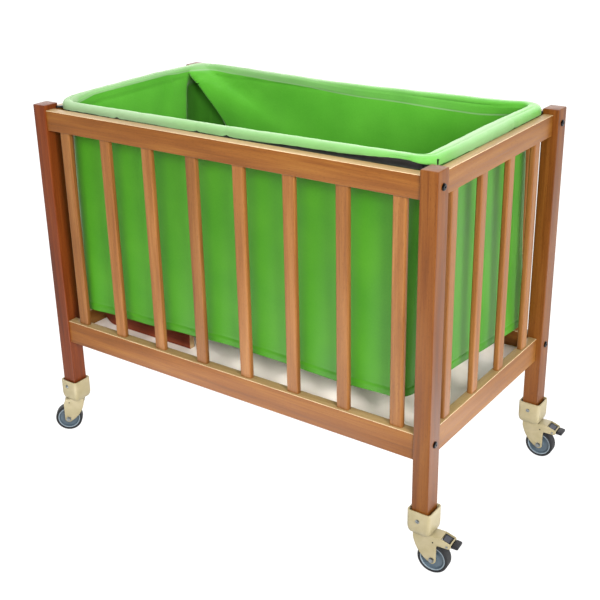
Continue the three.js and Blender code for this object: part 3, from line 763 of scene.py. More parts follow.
def planCorners(frontLeft, frontRight, backRight, backLeft):
    return [
        planCorner(*frontLeft, True, True),
        planCorner(*frontRight, False, True),
        planCorner(*backRight, False, False),
        planCorner(*backLeft, True, False),
    ]


# Point and outward direction at a station: a share of a bend or of a straight side
def planPlace(corners, bend, part, number, share):
    corner = corners[number]
    before = (corners[number - 1] - corner).normalized()
    after = (corners[(number + 1) % 4] - corner).normalized()
    if part == "bend":
        start = corner + before * bend
        end = corner + after * bend
        point = start * (1 - share) ** 2 + corner * 2 * share * (1 - share) + end * share ** 2
        heading = (-before * (1 - share) + after * share).normalized()
    else:
        start = corner + after * bend
        end = corners[(number + 1) % 4] - after * bend
        point = start.lerp(end, share)
        heading = after
    return point, Vector((heading.y, -heading.x))


# How far the tube's middle is below tubeZ, in mm
def tubeSag(part, side, share):
    if (part, side) == ("side", 2):
        steps = [(at, k * linerFrame["backSag"]) for k, at in enumerate((0, *linerFrame["knots"]))]
        return along(steps, min(share, 1 - share))
    shares = {("side", 0): 1 - share, ("side", 3): share, ("bend", 0): 1.0}
    return linerFrame["sag"] * shares.get((part, side), 0.0)


inset = linerFrame["inset"]
tubeCorners = planCorners(
    (inset["left"], inset["front"]), (inset["right"], inset["front"]),
    (inset["right"], inset["back"]), (inset["left"], inset["back"]),
)


def addLinerFrame():
    bend = linerFrame["bend"] * mm
    knots = linerFrame["knots"]
    backShares = (*knots, *(1 - share for share in reversed(knots)))
    places = []
    for i in range(4):
        places += [planPlace(tubeCorners, bend, "bend", i, k / 10)[0] for k in range(11)]
        if i == 2:
            places += [planPlace(tubeCorners, bend, "side", i, share)[0] for share in backShares]
    tube = startLoop("liner_frame_tube", [(*place, tubeZ) for place in places])
    tube.data.dimensions = "3D"
    tube.data.twist_mode = "Z_UP"
    tube.data.bevel_depth = linerFrame["tubeRadius"] * mm
    tube.data.bevel_resolution = linerFrame["facets"]
    activate(tube)
    bpy.ops.object.convert(target="MESH")
    pickFaces(tube, lambda centre, normal: centre.z < tubeZ)
    stretch = linerFrame["tubeDepth"] / linerFrame["tubeRadius"]
    bpy.ops.transform.resize(value=(1, 1, stretch), center_override=(0, 0, tubeZ))
    corner = tubeCorners[0]
    near = bend * 1.5
    pickFaces(tube, lambda centre, normal: (centre.xy - corner).length < near)
    bpy.ops.transform.translate(value=(0, 0, -linerFrame["sag"] * mm))
    start, end = (planPlace(tubeCorners, bend, "side", 2, share)[0] for share in (0, 1))
    for knot in knots:           # the back sags towards its middle
        reach = (0.5 - knot) * (end - start).length + 0.001
        pickFaces(tube, lambda centre, normal: centre.y > start.y - bend / 2
                  and abs(centre.x - (start.x + end.x) / 2) < reach)
        bpy.ops.transform.translate(value=(0, 0, -linerFrame["backSag"] * mm))
    dress(tube, degrees=40)
    joinInto(tube, *(addBracket(corner) for corner in cornerNames))
    tube.data.materials.clear()
    tube.data.materials.append(blackTube)
    settle(tube, "cot_frame", "black_steel", "liner_frame")


# Gusset from the bend of the tube to the post's inner corner, with a small upright flange
def addBracket(corner):
    low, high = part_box("post_" + corner)
    sideX = -1 if corner.endswith("left") else 1
    sideY = -1 if corner.startswith("front") else 1
    play = linerFrame["play"] * mm
    faceX = (high.x if sideX < 0 else low.x) - sideX * play
    faceY = high.y if sideY < 0 else low.y
    thick, wide = (value * mm for value in linerFrame["flange"])
    number = {"front_left": 0, "front_right": 1, "back_right": 2, "back_left": 3}[corner]
    bend, outward = planPlace(tubeCorners, linerFrame["bend"] * mm, "bend", number, 0.5)
    across = Vector((-outward.y, outward.x)) * linerFrame["tubeRadius"] * mm * linerFrame["gussetShare"]
    outline = [
        (faceX, faceY + sideY * wide), (faceX, faceY),
        tuple(bend + across), tuple(bend - across),
        (faceX - sideX * thick, faceY + sideY * wide),
    ]
    middle = sum((Vector(p) for p in outline), Vector((0, 0))) / len(outline)
    outline.sort(key=lambda p: math.atan2(p[1] - middle.y, p[0] - middle.x))
    gusset = startPlate("gusset", outline, linerFrame["gusset"] * mm, linerFrame["gussetRim"] * mm, 1, False)
    gusset.location.z = tubeZ - linerFrame["bracketDrop"] * mm
    applyPlace(gusset)
    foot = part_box("top_rail_front")[1].z + play
    gussetTop = tubeZ + (linerFrame["gusset"] / 2 - linerFrame["bracketDrop"]) * mm
    xs = sorted((faceX, faceX - sideX * thick))
    ys = sorted((faceY, faceY + sideY * wide))
    flange = startBox("flange", (xs[0], ys[0], foot), (xs[1], ys[1], gussetTop))
    easeEdges(flange, linerFrame["flangeRound"])
    return joinInto(gusset, flange)


addLinerFrame()
print("liner frame made")


# Liner: one sheet that rises from a floor, goes over the tube from inside and ends in cuffs
liner = {
    "hemInset": ((64, 53), (88, 53), (48, 52), (64, 52)),
    "hemBend": 46,
    "thickness": 1.2,
    "pitch": 10.5,           # between columns of the mesh, and close to the back left corner
    "finePitch": 3.7,
    "fineReach": 190,
    "slit": (0.13, 0.83, 0.38),      # where the cuffs part, as shares of the first three bends
    "slitRows": 4,
    "bendShares": (0, 0.13, 0.26, 0.38, 0.5, 0.62, 0.74, 0.83, 0.92),
    "foldSteps": 14,         # columns in the back left bend
    "bulge": (7, 60, 50),    # of the wall at the front left corner, and its reach along it and down it
    "hemPush": (0.9, -1.0),  # at the hem's seam, and on the doubled band below it
    "drape": ((12, 1), (40, 0)),     # share of a bearer's height, by the distance from it
    "floorRings": (0.985, 0.94, 0.88, 0.82, 0.7, 0.6, 0.5, 0.4, 0.32),
    "floorSwell": 0.6,
    "cuffRows": 22,
    "clear": 0.7,            # from the tube to the middle of the cloth
    "flatSize": (1.90, 2.42),
    "flatArea": 2.83,
}
# Each side's cuff, at shares of its run: reach inwards and outwards of the tube's middle, height over it,
# the line where it is sewn to the wall, its outer edge, the roundness of its section (1 is round) and the
# hem's lift. The seam is a share of the section, from outer edge to sewn line. The painted highlight is how
# pale the cuff is painted where light grazes it, and fade the shares of it outside the seam, inside it and
# on the sewn line. Room is from the tube's middle to the rail, less a bit.
cuffs = [
    {   # front
        "inner": [(0, 12), (0.4, 12.2), (1, 14.5)],
        "outer": [(0, 15), (0.6, 14.5), (1, 14.5)],
        "rise": [(0, 11.9), (0.4, 12), (0.7, 13), (1, 15)],
        "sewn": [(0, -12), (1, -12)],
        "flap": [(0, -6), (0.2, -8), (0.4, -9), (0.59, -8), (0.73, -4), (0.82, -3), (1, 6)],
        "square": [(0, 0.9), (0.4, 0.8), (1, 0.66)],
        "hem": [(0, -8), (0.2, -6), (0.37, 3), (0.5, 8), (0.65, 7), (0.85, 2), (1, 6)],
        "seam": 0.62,
        "pleats": (0.17, 0.43, 0.52),
        "paintedHighlight": [(0, 1), (0.2, 1), (0.45, 0.72), (0.8, 0.52), (1, 0.26)],
        "fade": (0.95, 1.0, 0.0),
        "room": 40,
    },
    {   # right
        "inner": [(0, 14), (0.3, 19), (0.55, 22), (1, 15)],
        "outer": [(0, 17), (0.4, 21), (0.9, 21), (1, 22)],
        "rise": [(0, 14), (0.5, 12.5), (1, 13)],
        "sewn": [(0, -12), (1, -14)],
        "flap": [(0, -9), (0.5, -10), (1, -9)],
        "square": [(0, 0.66), (0.5, 0.56), (1, 0.66)],
        "hem": [(0, 18), (0.3, 12), (0.7, 4), (1, 0)],
        "seam": 0.4,
        "pleats": (0.72,),
        "paintedHighlight": [(0, 0.35), (0.25, 0.85), (0.6, 0.8), (0.85, 0.45), (1, 0.2)],
        "fade": (0.7, 1.0, 0.0),
        "room": 20.6,
    },
    {   # back
        "inner": [(0, 14), (1, 14.5)],
        "outer": [(0, 20), (0.05, 15), (1, 15)],
        "rise": [(0, 15), (0.06, 12.5), (0.6, 12), (0.78, 14), (0.88, 16), (0.95, 16), (1, 14)],
        "sewn": [(0, -20), (0.12, -28), (0.42, -19), (0.75, -7), (0.92, -2), (1, 2)],
        "flap": [(0, -9), (1, -10)],
        "square": [(0, 0.72), (1, 0.72)],
        "hem": [(0, 0), (1, -4)],
        "seam": 0.7,
        "pleats": (),
        "paintedHighlight": [(0, 0.05), (0.4, 0.3), (0.65, 0.75), (0.85, 1), (1, 0.7)],
        "fade": (0.8, 0.55, 0.75),
        "room": 11.7,
    },
    {   # left
        "inner": [(0, 15.5), (1, 15.5)],
        "outer": [(0, 15), (1, 16)],
        "rise": [(0, 14), (0.1, 15.5), (0.35, 20), (0.9, 21), (1, 20)],
        "sewn": [(0, 2), (0.12, 4), (0.3, 10), (0.85, 12), (1, 2)],
        "flap": [(0, -10), (1, -10)],
        "square": [(0, 0.7), (1, 0.75)],
        "hem": [(0, -4), (1, -8)],
        "seam": 0.86,
        "pleats": (),
        "paintedHighlight": [(0, 0.7), (0.3, 0.9), (1, 0.9)],
        "fade": (0.8, 0.5, 0.75),
        "room": 40,
    },
]
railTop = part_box("top_rail_back")[1].z
hemCorners = planCorners(*liner["hemInset"])
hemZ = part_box("liner")[0].z + liner["thickness"] * mm
hemSeam = 559.5
wallSteps = [0, 2.5, 5.5, 9, 13] + [18 + 5.6 * k for k in range(31)] + [200 + 15 * k for k in range(23)]
wallSteps += [543, 551, 557, hemSeam, 562, 569, 575, 580]      # the last 20 are the hem band
wallRows = len(wallSteps)
hemSeamRow = wallSteps.index(hemSeam)


def sideRun(side):
    return (tubeCorners[(side + 1) % 4] - tubeCorners[side]).length / mm - 2 * linerFrame["bend"]


# Columns of the mesh: (part, side, share of it, whether a slit between two cuffs follows)
def linerStations():
    found = []
    for side in range(4):
        if side == 3:
            count = liner["foldSteps"]
            found += [("bend", side, k / count, False) for k in range(count)]
        else:
            slit = liner["slit"][side]
            found += [("bend", side, share, share == slit) for share in liner["bendShares"]]
        run = sideRun(side)
        fine = liner["fineReach"]
        stretches = [(0, run, liner["pitch"])]
        if side == 2:
            stretches = [(0, run - fine, liner["pitch"]), (run - fine, run, liner["finePitch"])]
        if side == 3:
            stretches = [(0, fine, liner["finePitch"]), (fine, run, liner["pitch"])]
        for start, end, pitch in stretches:
            count = round((end - start) / pitch)
            found += [("side", side, (start + (end - start) * k / count) / run, False) for k in range(count)]
    return found


def cuffAt(key, part, side, share):
    if part == "side":
        return along(cuffs[side][key], share)
    before, after = cuffs[side - 1][key][-1][1], cuffs[side][key][0][1]
    return before + (after - before) * share


# Waves of the walls: mm of push, and the mm over which it changes along the wall and down it
wallWaves = {
    "folds": ((4.5, 7, 3.5, 4), 95, 900),      # by side
    "drift": (3, 210, 240),
    "gathers": (1.1, 17, 60),        # under the cuff
    "puckers": (0.9, 26, 45),        # over the hem
    "tuck": (2.2, 9),                # below the sewn line, and its depth
    "cuffDepth": 12,
}


# Inward push of the wall, in mm: u along its side, b below the tube, both in mm
def wallFold(side, u, b, height):
    below = max(0.0, b - wallWaves["cuffDepth"])
    near = max(0.0, height - b)
    hold = min(1.0, below / 60) * min(1.0, near / 90 + 0.15)
    folds, drift, gathers, puckers = (wallWaves[key] for key in ("folds", "drift", "gathers", "puckers"))
    tuck, tuckDepth = wallWaves["tuck"]

    def waveOf(wave, seed):
        return noise.noise((u / wave[1], b / wave[2], seed))

    push = hold * folds[0][side] * waveOf(folds, side * 5.3)
    push += hold * drift[0] * waveOf(drift, side * 3.1 + 9)
    push += gathers[0] * waveOf(gathers, side * 7.7) * math.exp(-below / 40) * min(1.0, below / 6)
    push += puckers[0] * waveOf(puckers, side + 20) * math.exp(-near / 30)
    push -= tuck * math.exp(-below / tuckDepth) * (below > 0)
    return push


# The slack at the back left corner, in plan lines at each depth b below the tube. X is from the left wall
# and Y from the back wall, in mm. A taut fold slants from the left cuff to the back wall, and a pocket opens
# behind it.
cornerFold = {
    "leftReach": 190,
    "backReach": 520,
    "edge": (61.5, 0.1),         # Y of the left wall's fold, and its growth with depth
    "ridge": (61, -0.34, 0.59),  # Y of the taut fold, its growth, and the growth of its X
    "valley": (56, 2.16, 440),   # X of the soft hollow beyond it, its growth and its end
    "opens": 42,                 # depth at which the pocket is fully open
    "deep": 20,
    "ripple": 2.6,
    "pocketShade": 0.75,                # share of painted shade on the cloth in the pocket
    "shadeBehindFold": ((-4, 0), (16, 1)),      # of it, by the mm behind the taut fold
    "shadeBehindWall": ((-10, 0), (14, 1)),     # and behind the left wall's fold
    "hold": (18, 20),            # mm over the tube's middle where the slack begins, and its growth
    "holdLeft": 50,              # mm over which it ends on each wall
    "holdBack": 120,
    "fades": ((190, 0), (430, 1)),
}
cornerPlans = {}


# Lengths walked along a line of points
def lengthsAlong(points):
    found = [0.0]
    for first, second in zip(points, points[1:]):
        found.append(found[-1] + (second - first).length)
    return found


# Plan line at a depth, from the left wall round the pocket to the back wall, and the lengths along it
def cornerPlan(b):
    fold = cornerFold
    opened = min(1.0, b / fold["opens"])
    top = Vector((0, fold["ridge"][0]))
    edge = Vector((0, fold["edge"][0] + fold["edge"][1] * b))
    ridge = Vector((fold["ridge"][2] * b, max(1.0, fold["ridge"][0] + fold["ridge"][1] * b)))
    valley = Vector((min(fold["valley"][0] + fold["valley"][1] * b, fold["valley"][2]), -3 * opened))
    deep = fold["deep"] * along([(16, 0.2), (55, 1)], b)
    behind = [(-0.4 * deep, 0.95 * edge.y), (-deep, 0.75 * edge.y), (-deep, 20), (-0.6 * deep, -0.4 * deep),
              (max(8, ridge.x - 26), -0.7 * deep), (max(10, ridge.x - 9), 0.25 * ridge.y),
              (ridge.x - 1, 0.93 * ridge.y)]
    points = [Vector((0, fold["leftReach"])), edge + Vector((1.5 * opened, 30)), edge + Vector((0.5, 3))]
    for k, spot in enumerate(behind):
        wave = fold["ripple"] * math.sin(k * 2.3 + 0.7) * opened
        points.append(top.lerp(Vector(spot) + Vector((wave, wave)), opened))
    points += [ridge, ridge.lerp(valley, 0.05), ridge.lerp(valley, 0.5) + Vector((0, 1.5)), valley]
    points.append(Vector((fold["backReach"], 0)))
    for turn in range(2):            # corners cut, so that the folds are round
        cut = [points[0]]
        for first, second in zip(points, points[1:]):
            cut += [first.lerp(second, 0.25), first.lerp(second, 0.75)]
        points = cut + [points[-1]]
    return points, lengthsAlong(points)


# Place on the corner's plan line at a depth, for a signed distance from the corner along the walls
def foldPlace(reach, b):
    key = round(max(0.0, b), 1)
    if key not in cornerPlans:
        cornerPlans[key] = cornerPlan(key)
    points, lengths = cornerPlans[key]
    left, back = cornerFold["leftReach"], cornerFold["backReach"]
    wanted = (reach + left) / (left + back) * lengths[-1]
    k = max(0, min(bisect.bisect_right(lengths, wanted) - 1, len(points) - 2))
    span = max(1e-9, lengths[k + 1] - lengths[k])
    return points[k].lerp(points[k + 1], (wanted - lengths[k]) / span)


# Moves a spot of the liner onto the corner's plan line. Descent is the share of the way from cuff to hem.
def slackSpot(spot, reach, b, descent):
    fold = cornerFold
    held = min(1.0, max(0.0, (b + fold["hold"][0]) / fold["hold"][1])) * (1 - along(fold["fades"], b))
    fromLeft = min(1.0, (fold["leftReach"] + reach) / fold["holdLeft"])
    held *= fromLeft * min(1.0, (fold["backReach"] - reach) / fold["holdBack"])
    if held <= 0:
        return spot
    place = foldPlace(reach, b)
    inner = Vector((cuffs[3]["inner"][0][1], -cuffs[2]["inner"][-1][1])) * mm
    walls = (tubeCorners[3] + inner).lerp(hemCorners[3], descent)
    return spot.lerp(Vector((walls.x + place.x * mm, walls.y - place.y * mm, spot.z)), held)


# How much shade is painted on a spot of the wall: most behind the taut fold, next to the left wall
def pocketShadeAt(reach, b):
    fold = cornerFold
    if not -fold["leftReach"] < reach < fold["backReach"]:
        return 0.0
    place = foldPlace(reach, b)
    edgeY = fold["edge"][0] + fold["edge"][1] * b
    behindFold = along(fold["shadeBehindFold"], fold["ridge"][2] * b - place.x)
    behindWall = along(fold["shadeBehindWall"], edgeY - place.y)
    return fold["pocketShade"] * behindFold * behindWall * (1 - along(fold["fades"], b))


# Signed distance from the back left corner: + along the back wall, - along the left wall
def slackReach(part, side, share):
    bend = linerFrame["bend"]
    return {
        ("side", 2): sideRun(2) * (1 - share) + bend,
        ("side", 3): -(sideRun(3) * share + bend),
        ("bend", 3): bend * (1 - 2 * share),
    }.get((part, side))


# Small forms of every cuff, in mm
cuffDetail = {
    "pleat": (4, 7),                 # lift of the edge, and its width
    "dent": (2.4, 3, 3.5),           # beside a pleat: its depth, its place and its width
    "edgeWave": (1.2, 22),
    "swells": ((0.8, 46, 7), (0.5, 12, 4)),      # mm, over mm along the cuff and rows across it
    "seamDip": 2.2,
    "turned": ((2.0, 6), (1.9, 1.2), (1.0, -0.6)),       # edge turned under, inwards and up
    "steps": 60,
}
turnedRows = len(cuffDetail["turned"])
seamRows = [turnedRows + round(cuff["seam"] * liner["cuffRows"]) for cuff in cuffs]


# One cross-section of a cuff, from its outer edge over the tube to the sewn line, evenly spaced
def cuffSection(part, side, share, u):
    keys = ("inner", "outer", "rise", "sewn", "flap", "square")
    inner, outer, rise, sewn, flap, square = (cuffAt(key, part, side, share) for key in keys)
    for pleat in cuffs[side]["pleats"] if part == "side" else ():
        gap = (share - pleat) * sideRun(side)
        lift, width = cuffDetail["pleat"]
        flap += lift * math.exp(-(gap / width) ** 2)
        dent, place, width = cuffDetail["dent"]
        outer -= dent * math.exp(-((gap - place) / width) ** 2)
    wave, run = cuffDetail["edgeWave"]
    flap += wave * noise.noise((u / run, side * 3.3, 4))
    bottom = flap if flap < 0 else 0
    low = math.asin((max(flap, 0) / rise) ** (1 / square))
    high = math.pi - math.asin((max(sewn, 0) / rise) ** (1 / square))
    path = [(outer, bottom * (1 - k / 6)) for k in range(6)] if flap < 0 else []
    steps = cuffDetail["steps"]
    for k in range(steps + 1):
        angle = low + (high - low) * k / steps
        lobe = math.cos(angle)
        away = (outer if lobe > 0 else inner) * math.copysign(abs(lobe) ** square, lobe)
        path.append((away, rise * max(0.0, math.sin(angle)) ** square))
    if sewn < 0:
        path += [(-inner, sewn * k / 4) for k in range(1, 5)]
    lengths = [0.0]
    for (x0, z0), (x1, z1) in zip(path, path[1:]):
        lengths.append(lengths[-1] + math.hypot(x1 - x0, z1 - z0))
    rows = []
    count = liner["cuffRows"]
    step = 0
    for k in range(count + 1):
        wanted = lengths[-1] * k / count
        while step < len(path) - 2 and lengths[step + 1] < wanted:
            step += 1
        t = (wanted - lengths[step]) / max(1e-9, lengths[step + 1] - lengths[step])
        away, lift = (path[step][i] * (1 - t) + path[step + 1][i] * t for i in (0, 1))
        reach = max(1.0, math.hypot(away, lift))
        fade = min(1.0, (count - k) / 4)
        swell = 0
        for (size, run, across), seed in zip(cuffDetail["swells"], (side * 4.7, side)):
            swell += size * noise.noise((u / run, k / across, seed))
        if k == seamRows[side] - turnedRows:
            swell -= cuffDetail["seamDip"]
        grown = 1 + swell * fade / reach
        away, lift = away * grown, lift * grown
        solid = linerFrame["tubeRadius"] + liner["clear"]
        deep = linerFrame["tubeDepth"] + liner["clear"]
        inside = math.hypot(away / solid, lift / (solid if lift > 0 else deep))
        if inside < 1:
            away, lift = away / inside, lift / inside
        if part == "side" and lift < (railTop - tubeZ) / mm + tubeSag(part, side, share) + 2:
            away = min(away, cuffs[side]["room"])      # beside the rail
        rows.append((away, lift))
    away, lift = rows[0]
    return [(away - inwards, lift + up) for inwards, up in cuffDetail["turned"]] + rows


# Lifts a spot of the liner's floor or hem onto a bearer, and less beside it
def liftOverBearers(spot):
    for node in ("bearer_front", "bearer_back"):
        low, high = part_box(node)
        rest = high.z + (liner["thickness"] / 2 + liner["clear"]) * mm
        beside = max(low.x - spot.x, spot.x - high.x, low.y - spot.y, spot.y - high.y, 0) / mm
        spot.z += max(0.0, rest - spot.z) * along(liner["drape"], beside)


def linerColumn(part, side, share):
    top, outward = planPlace(tubeCorners, linerFrame["bend"] * mm, part, side, share)
    foot, footOutward = planPlace(hemCorners, liner["hemBend"] * mm, part, side, share)
    u = share * sideRun(side) if part == "side" else share * linerFrame["bend"] * 1.6 - 60
    section = cuffSection(part, side, share, u)
    middle = tubeZ - tubeSag(part, side, share) * mm
    rows = [Vector((*(top + outward * away * mm), middle + lift * mm)) for away, lift in section]
    fromCorner = {("bend", 0): 0, ("side", 0): u, ("side", 3): sideRun(3) - u}.get((part, side), math.inf)
    reach = slackReach(part, side, share)
    slack = reach is not None and -cornerFold["leftReach"] < reach < cornerFold["backReach"]
    wallTop = rows.pop()
    sewn = section[-1][1]
    wallFoot = Vector((foot.x, foot.y, hemZ + cuffAt("hem", part, side, share) * mm))
    liftOverBearers(wallFoot)
    height = (wallTop.z - wallFoot.z) / mm
    bulge, bulgeRun, bulgeDrop = liner["bulge"]
    if slack:
        rows = [
            slackSpot(spot, reach, -lift, 0) if away < 0 else spot
            for spot, (away, lift) in zip(rows, section)
        ]
    for row, step in enumerate(wallSteps):
        depth = step * height / wallSteps[-1]
        spot = wallTop.lerp(wallFoot, depth / height)
        lean = outward.lerp(footOutward, depth / height).normalized()
        push = wallFold(side, u if part == "side" else 0, depth - sewn, height - sewn)
        if slack:
            spot = slackSpot(spot, reach, depth - sewn, depth / height)
        push -= bulge * math.exp(-(fromCorner / bulgeRun) ** 2) * min(1.0, depth / bulgeDrop)
        if row >= hemSeamRow:
            push += liner["hemPush"][row > hemSeamRow]
        rows.append(spot - Vector((lean.x, lean.y, 0)) * push * mm)
    return rows


stations = linerStations()
columns = [linerColumn(*station[:3]) for station in stations]


def buildLinerMesh():
    mesh = bmesh.new()
    uvLayer = mesh.loops.layers.uv.new("flatCloth")
    paintedHighlight = mesh.verts.layers.float.new("paintedHighlight")
    pocketShade = mesh.verts.layers.float.new("pocketShade")
    grid = [[mesh.verts.new(spot) for spot in rows] for rows in columns]
    for verts, station in zip(grid, stations):
        part, side, share = station[:3]
        # painted highlight on the cuffs, kept as a vertex attribute
        pale = cuffAt("paintedHighlight", part, side, share)
        for k, vertex in enumerate(verts[:-wallRows]):
            vertex[paintedHighlight] = pale * cuffs[side]["fade"][k >= seamRows[side]]
        verts[-wallRows][paintedHighlight] = cuffs[side]["fade"][2]
        # painted shade in the back left corner's pocket, kept as a vertex attribute
        reach = slackReach(part, side, share)
        for vertex in verts[-wallRows:] if reach is not None else ():
            vertex[pocketShade] = pocketShadeAt(reach, (tubeZ - vertex.co.z) / mm)
    total = len(grid)
    walked = lengthsAlong([rows[-1] for rows in columns + columns[:1]])
    rises = [lengthsAlong(rows[::-1])[::-1] for rows in columns]
    for i in range(total):
        j = (i + 1) % total
        first = turnedRows + liner["slitRows"] if stations[i][3] else 0
        for k in range(first, len(columns[i]) - 1):
            face = mesh.faces.new((grid[i][k], grid[i][k + 1], grid[j][k + 1], grid[j][k]))
            spots = ((walked[i], rises[i][k]), (walked[i], rises[i][k + 1]),
                     (walked[i + 1], rises[j][k + 1]), (walked[i + 1], rises[j][k]))
            for loop, spot in zip(face.loops, spots):
                loop[uvLayer].uv = spot
    fillFloor(mesh, [column[-1] for column in grid], uvLayer)
    bmesh.ops.recalc_face_normals(mesh, faces=mesh.faces)
    mesh.faces.ensure_lookup_table()
    if mesh.faces[-1].normal.z < 0:      # the coated face is the inner one
        bmesh.ops.reverse_faces(mesh, faces=mesh.faces)
    data = bpy.data.meshes.new("liner_cloth")
    mesh.to_mesh(data)
    mesh.free()
    return linkMesh("liner_cloth", data)


# Floor of the liner: rings drawn in from its rim
def fillFloor(mesh, rim, uvLayer):
    middle = sum((vertex.co for vertex in rim), Vector()) / len(rim)
    ring = rim
    faces = []
    for share in liner["floorRings"]:
        inner = []
        for vertex in rim:
            spot = middle.lerp(vertex.co, share)
            swell = liner["floorSwell"] * mm * noise.noise((spot.x * 9, spot.y * 9, 3))
            spot.z = hemZ + (vertex.co.z - hemZ) * share ** 6 + swell
            liftOverBearers(spot)
            inner.append(mesh.verts.new(spot))
        for k in range(len(ring)):
            n = (k + 1) % len(ring)
            faces.append(mesh.faces.new((ring[k], ring[n], inner[n], inner[k])))
        ring = inner
    faces.append(mesh.faces.new(ring))
    for face in faces:
        for loop in face.loops:
            loop[uvLayer].uv = (loop.vert.co.x, loop.vert.co.y - 2)      # clear of the hem band's place


linerCloth = buildLinerMesh()
linerArea = sum(face.area for face in linerCloth.data.polygons)
linerCloth.data.materials.append(greenNylon)
linerCloth.data.materials.append(greenBackShaded)
# the second material, darker with painted shade, goes on the outer face
addModifier(linerCloth, "SOLIDIFY", thickness=liner["thickness"] * mm, offset=0, material_offset=1)
dress(linerCloth, degrees=60)
settle(linerCloth, "cot_frame", "coated_cloth", "liner")
print("liner made:", len(linerCloth.data.polygons), "faces,", round(linerArea, 3), "m2")


# Lock stitches: short threads along the hem and the cuffs' seams. Row is from the hem where negative, else
# from the cuff's edge; drop moves the line down the cloth; face is the side of the cloth, 1 inside the cot.
stitch = {"pitch": 4.8, "long": 3.3, "thick": 0.45, "proud": 0.8}
seamLines = [{"side": side, "row": hemSeamRow - wallRows, "drop": 1.5, "face": -1} for side in range(4)]
seamLines += [{"side": side, "row": -wallRows, "drop": 3.0, "face": 1} for side in range(4)]
seamLines += [{"side": 3, "row": -wallRows, "drop": -2.2, "face": 1}]
seamLines += [{"side": side, "row": seamRows[side] + 1, "drop": 0, "face": 1} for side in range(3)]


# Points and normals along one seam
def seamPath(line):
    picked = [i for i, station in enumerate(stations) if station[:2] == ("side", line["side"])]
    lift = liner["thickness"] / 2 + stitch["proud"] - stitch["thick"]
    path = []
    for i in picked:
        rows = columns[i]
        k = line["row"] % len(rows)
        down = (rows[k + 1] - rows[k - 1]).normalized()
        across = (columns[(i + 1) % len(columns)][k] - columns[i - 1][k]).normalized()
        normal = down.cross(across).normalized() * line["face"]
        path.append((rows[k] + down * line["drop"] * mm + normal * lift * mm, normal))
    return path


def addStitching():
    points, faces = [], []
    half = stitch["long"] / 2 * mm
    thick = stitch["thick"] * mm
    for line in seamLines:
        path = seamPath(line)
        walked = 0.0
        wanted = stitch["pitch"] * mm
        for (start, normal), after in zip(path, path[1:]):
            end = after[0]
            span = (end - start).length
            while walked + span > wanted:
                spot = start.lerp(end, (wanted - walked) / span)
                heading = (end - start).normalized()
                side = normal.cross(heading)
                base = len(points)
                points += [spot - heading * half - normal * thick, spot + heading * half - normal * thick]
                for share in (-0.55, 0.55):
                    for across, up in ((1, 0), (0, 1), (-1, 0), (0, -1)):
                        points.append(spot + heading * half * share + (side * across + normal * up) * thick)
                for k in range(4):
                    n = (k + 1) % 4
                    faces.append((base, base + 2 + n, base + 2 + k))
                    faces.append((base + 2 + k, base + 2 + n, base + 6 + n, base + 6 + k))
                    faces.append((base + 1, base + 6 + k, base + 6 + n))
                wanted += stitch["pitch"] * mm
            walked += span
    data = bpy.data.meshes.new("liner_stitching")
    data.from_pydata(points, [], faces)
    piece = linkMesh("liner_stitching", data)
    cleanMesh(piece, 0.000001)
    dress(piece, greenThread, degrees=60)
    settle(piece, "cot_frame", "coated_cloth")
    return piece


stitching = addStitching()
print("stitching made:", len(stitching.data.polygons), "faces")


# Castors, drawn trailing towards +X from the swivel axis with the floor at Z 0, then copied to the posts
castor = {"trail": 30, "axleZ": 40, "crownTop": 107, "crownUnder": 103.5, "inside": 16.5, "outside": 19}


# A closed profile of (radius, place along the axle) turned about the Y axis
def startTurned(name, profile, steps):
    data = bpy.data.meshes.new(name)
    count = len(profile)
    edges = [(k, (k + 1) % count) for k in range(count)]
    data.from_pydata([(r * mm, y * mm, 0) for r, y in profile], edges, [])
    piece = linkMesh(name, data)
    activate(piece)
    bpy.ops.object.mode_set(mode="EDIT")
    bpy.ops.mesh.select_all(action="SELECT")
    bpy.ops.mesh.spin(steps=steps, angle=2 * math.pi, center=(0, 0, 0), axis=(0, 1, 0))
    cleanMesh(piece, 0.00002)
    return piece


# Pressed steel socket round the foot of a post, drawn in to a bowl below
socket = {
    "half": 31.5,
    "top": 170.6,
    "foot": 107.6,
    "bowl": 22,
    "taper": 7.5,
    "corner": 9,
    "wall": 3.8,
    "floor": 129.6,
    "lip": 0.9,
    "bowlSteps": 7,
    "screw": {
        "front_left": (-5, 152), "front_right": (-1, 146), "back_left": (-2, 148), "back_right": (-2, 148),
    },
}


def makeSocket():
    half, top, foot = (socket[key] * mm for key in ("half", "top", "foot"))
    bowlTop = foot + socket["bowl"] * mm
    cup = startBox("socket", (-half, -half, bowlTop), (half, half, top))
    pickEdges(cup, lambda a, b: abs(a.z - b.z) > 0.01)
    roundPicked(socket["corner"], 6)
    pickFaces(cup, lambda centre, normal: normal.z < -0.99)
    steps = socket["bowlSteps"]
    scaleNow = 1.0
    for k in range(1, steps + 1):
        angle = k / steps * math.pi / 2
        drop = socket["bowl"] * mm * (math.sin(angle) - math.sin(angle - math.pi / 2 / steps))
        bpy.ops.mesh.extrude_region_move(TRANSFORM_OT_translate={"value": (0, 0, -drop)})
        wanted = 1 - socket["taper"] * mm * (1 - math.cos(angle)) / half
        bpy.ops.transform.resize(value=(wanted / scaleNow, wanted / scaleNow, 1), center_override=(0, 0, 0))
        scaleNow = wanted
    pickFaces(cup, lambda centre, normal: normal.z > 0.99)
    bpy.ops.mesh.inset(thickness=socket["wall"] * mm)
    sunk = (socket["floor"] - socket["top"]) * mm
    bpy.ops.mesh.extrude_region_move(TRANSFORM_OT_translate={"value": (0, 0, sunk)})
    pickEdges(cup, lambda a, b: min(a.z, b.z) > top - 0.0001)
    roundPicked(socket["lip"], 3)
    cleanMesh(cup)
    return dress(cup, creamSteel, degrees=40)


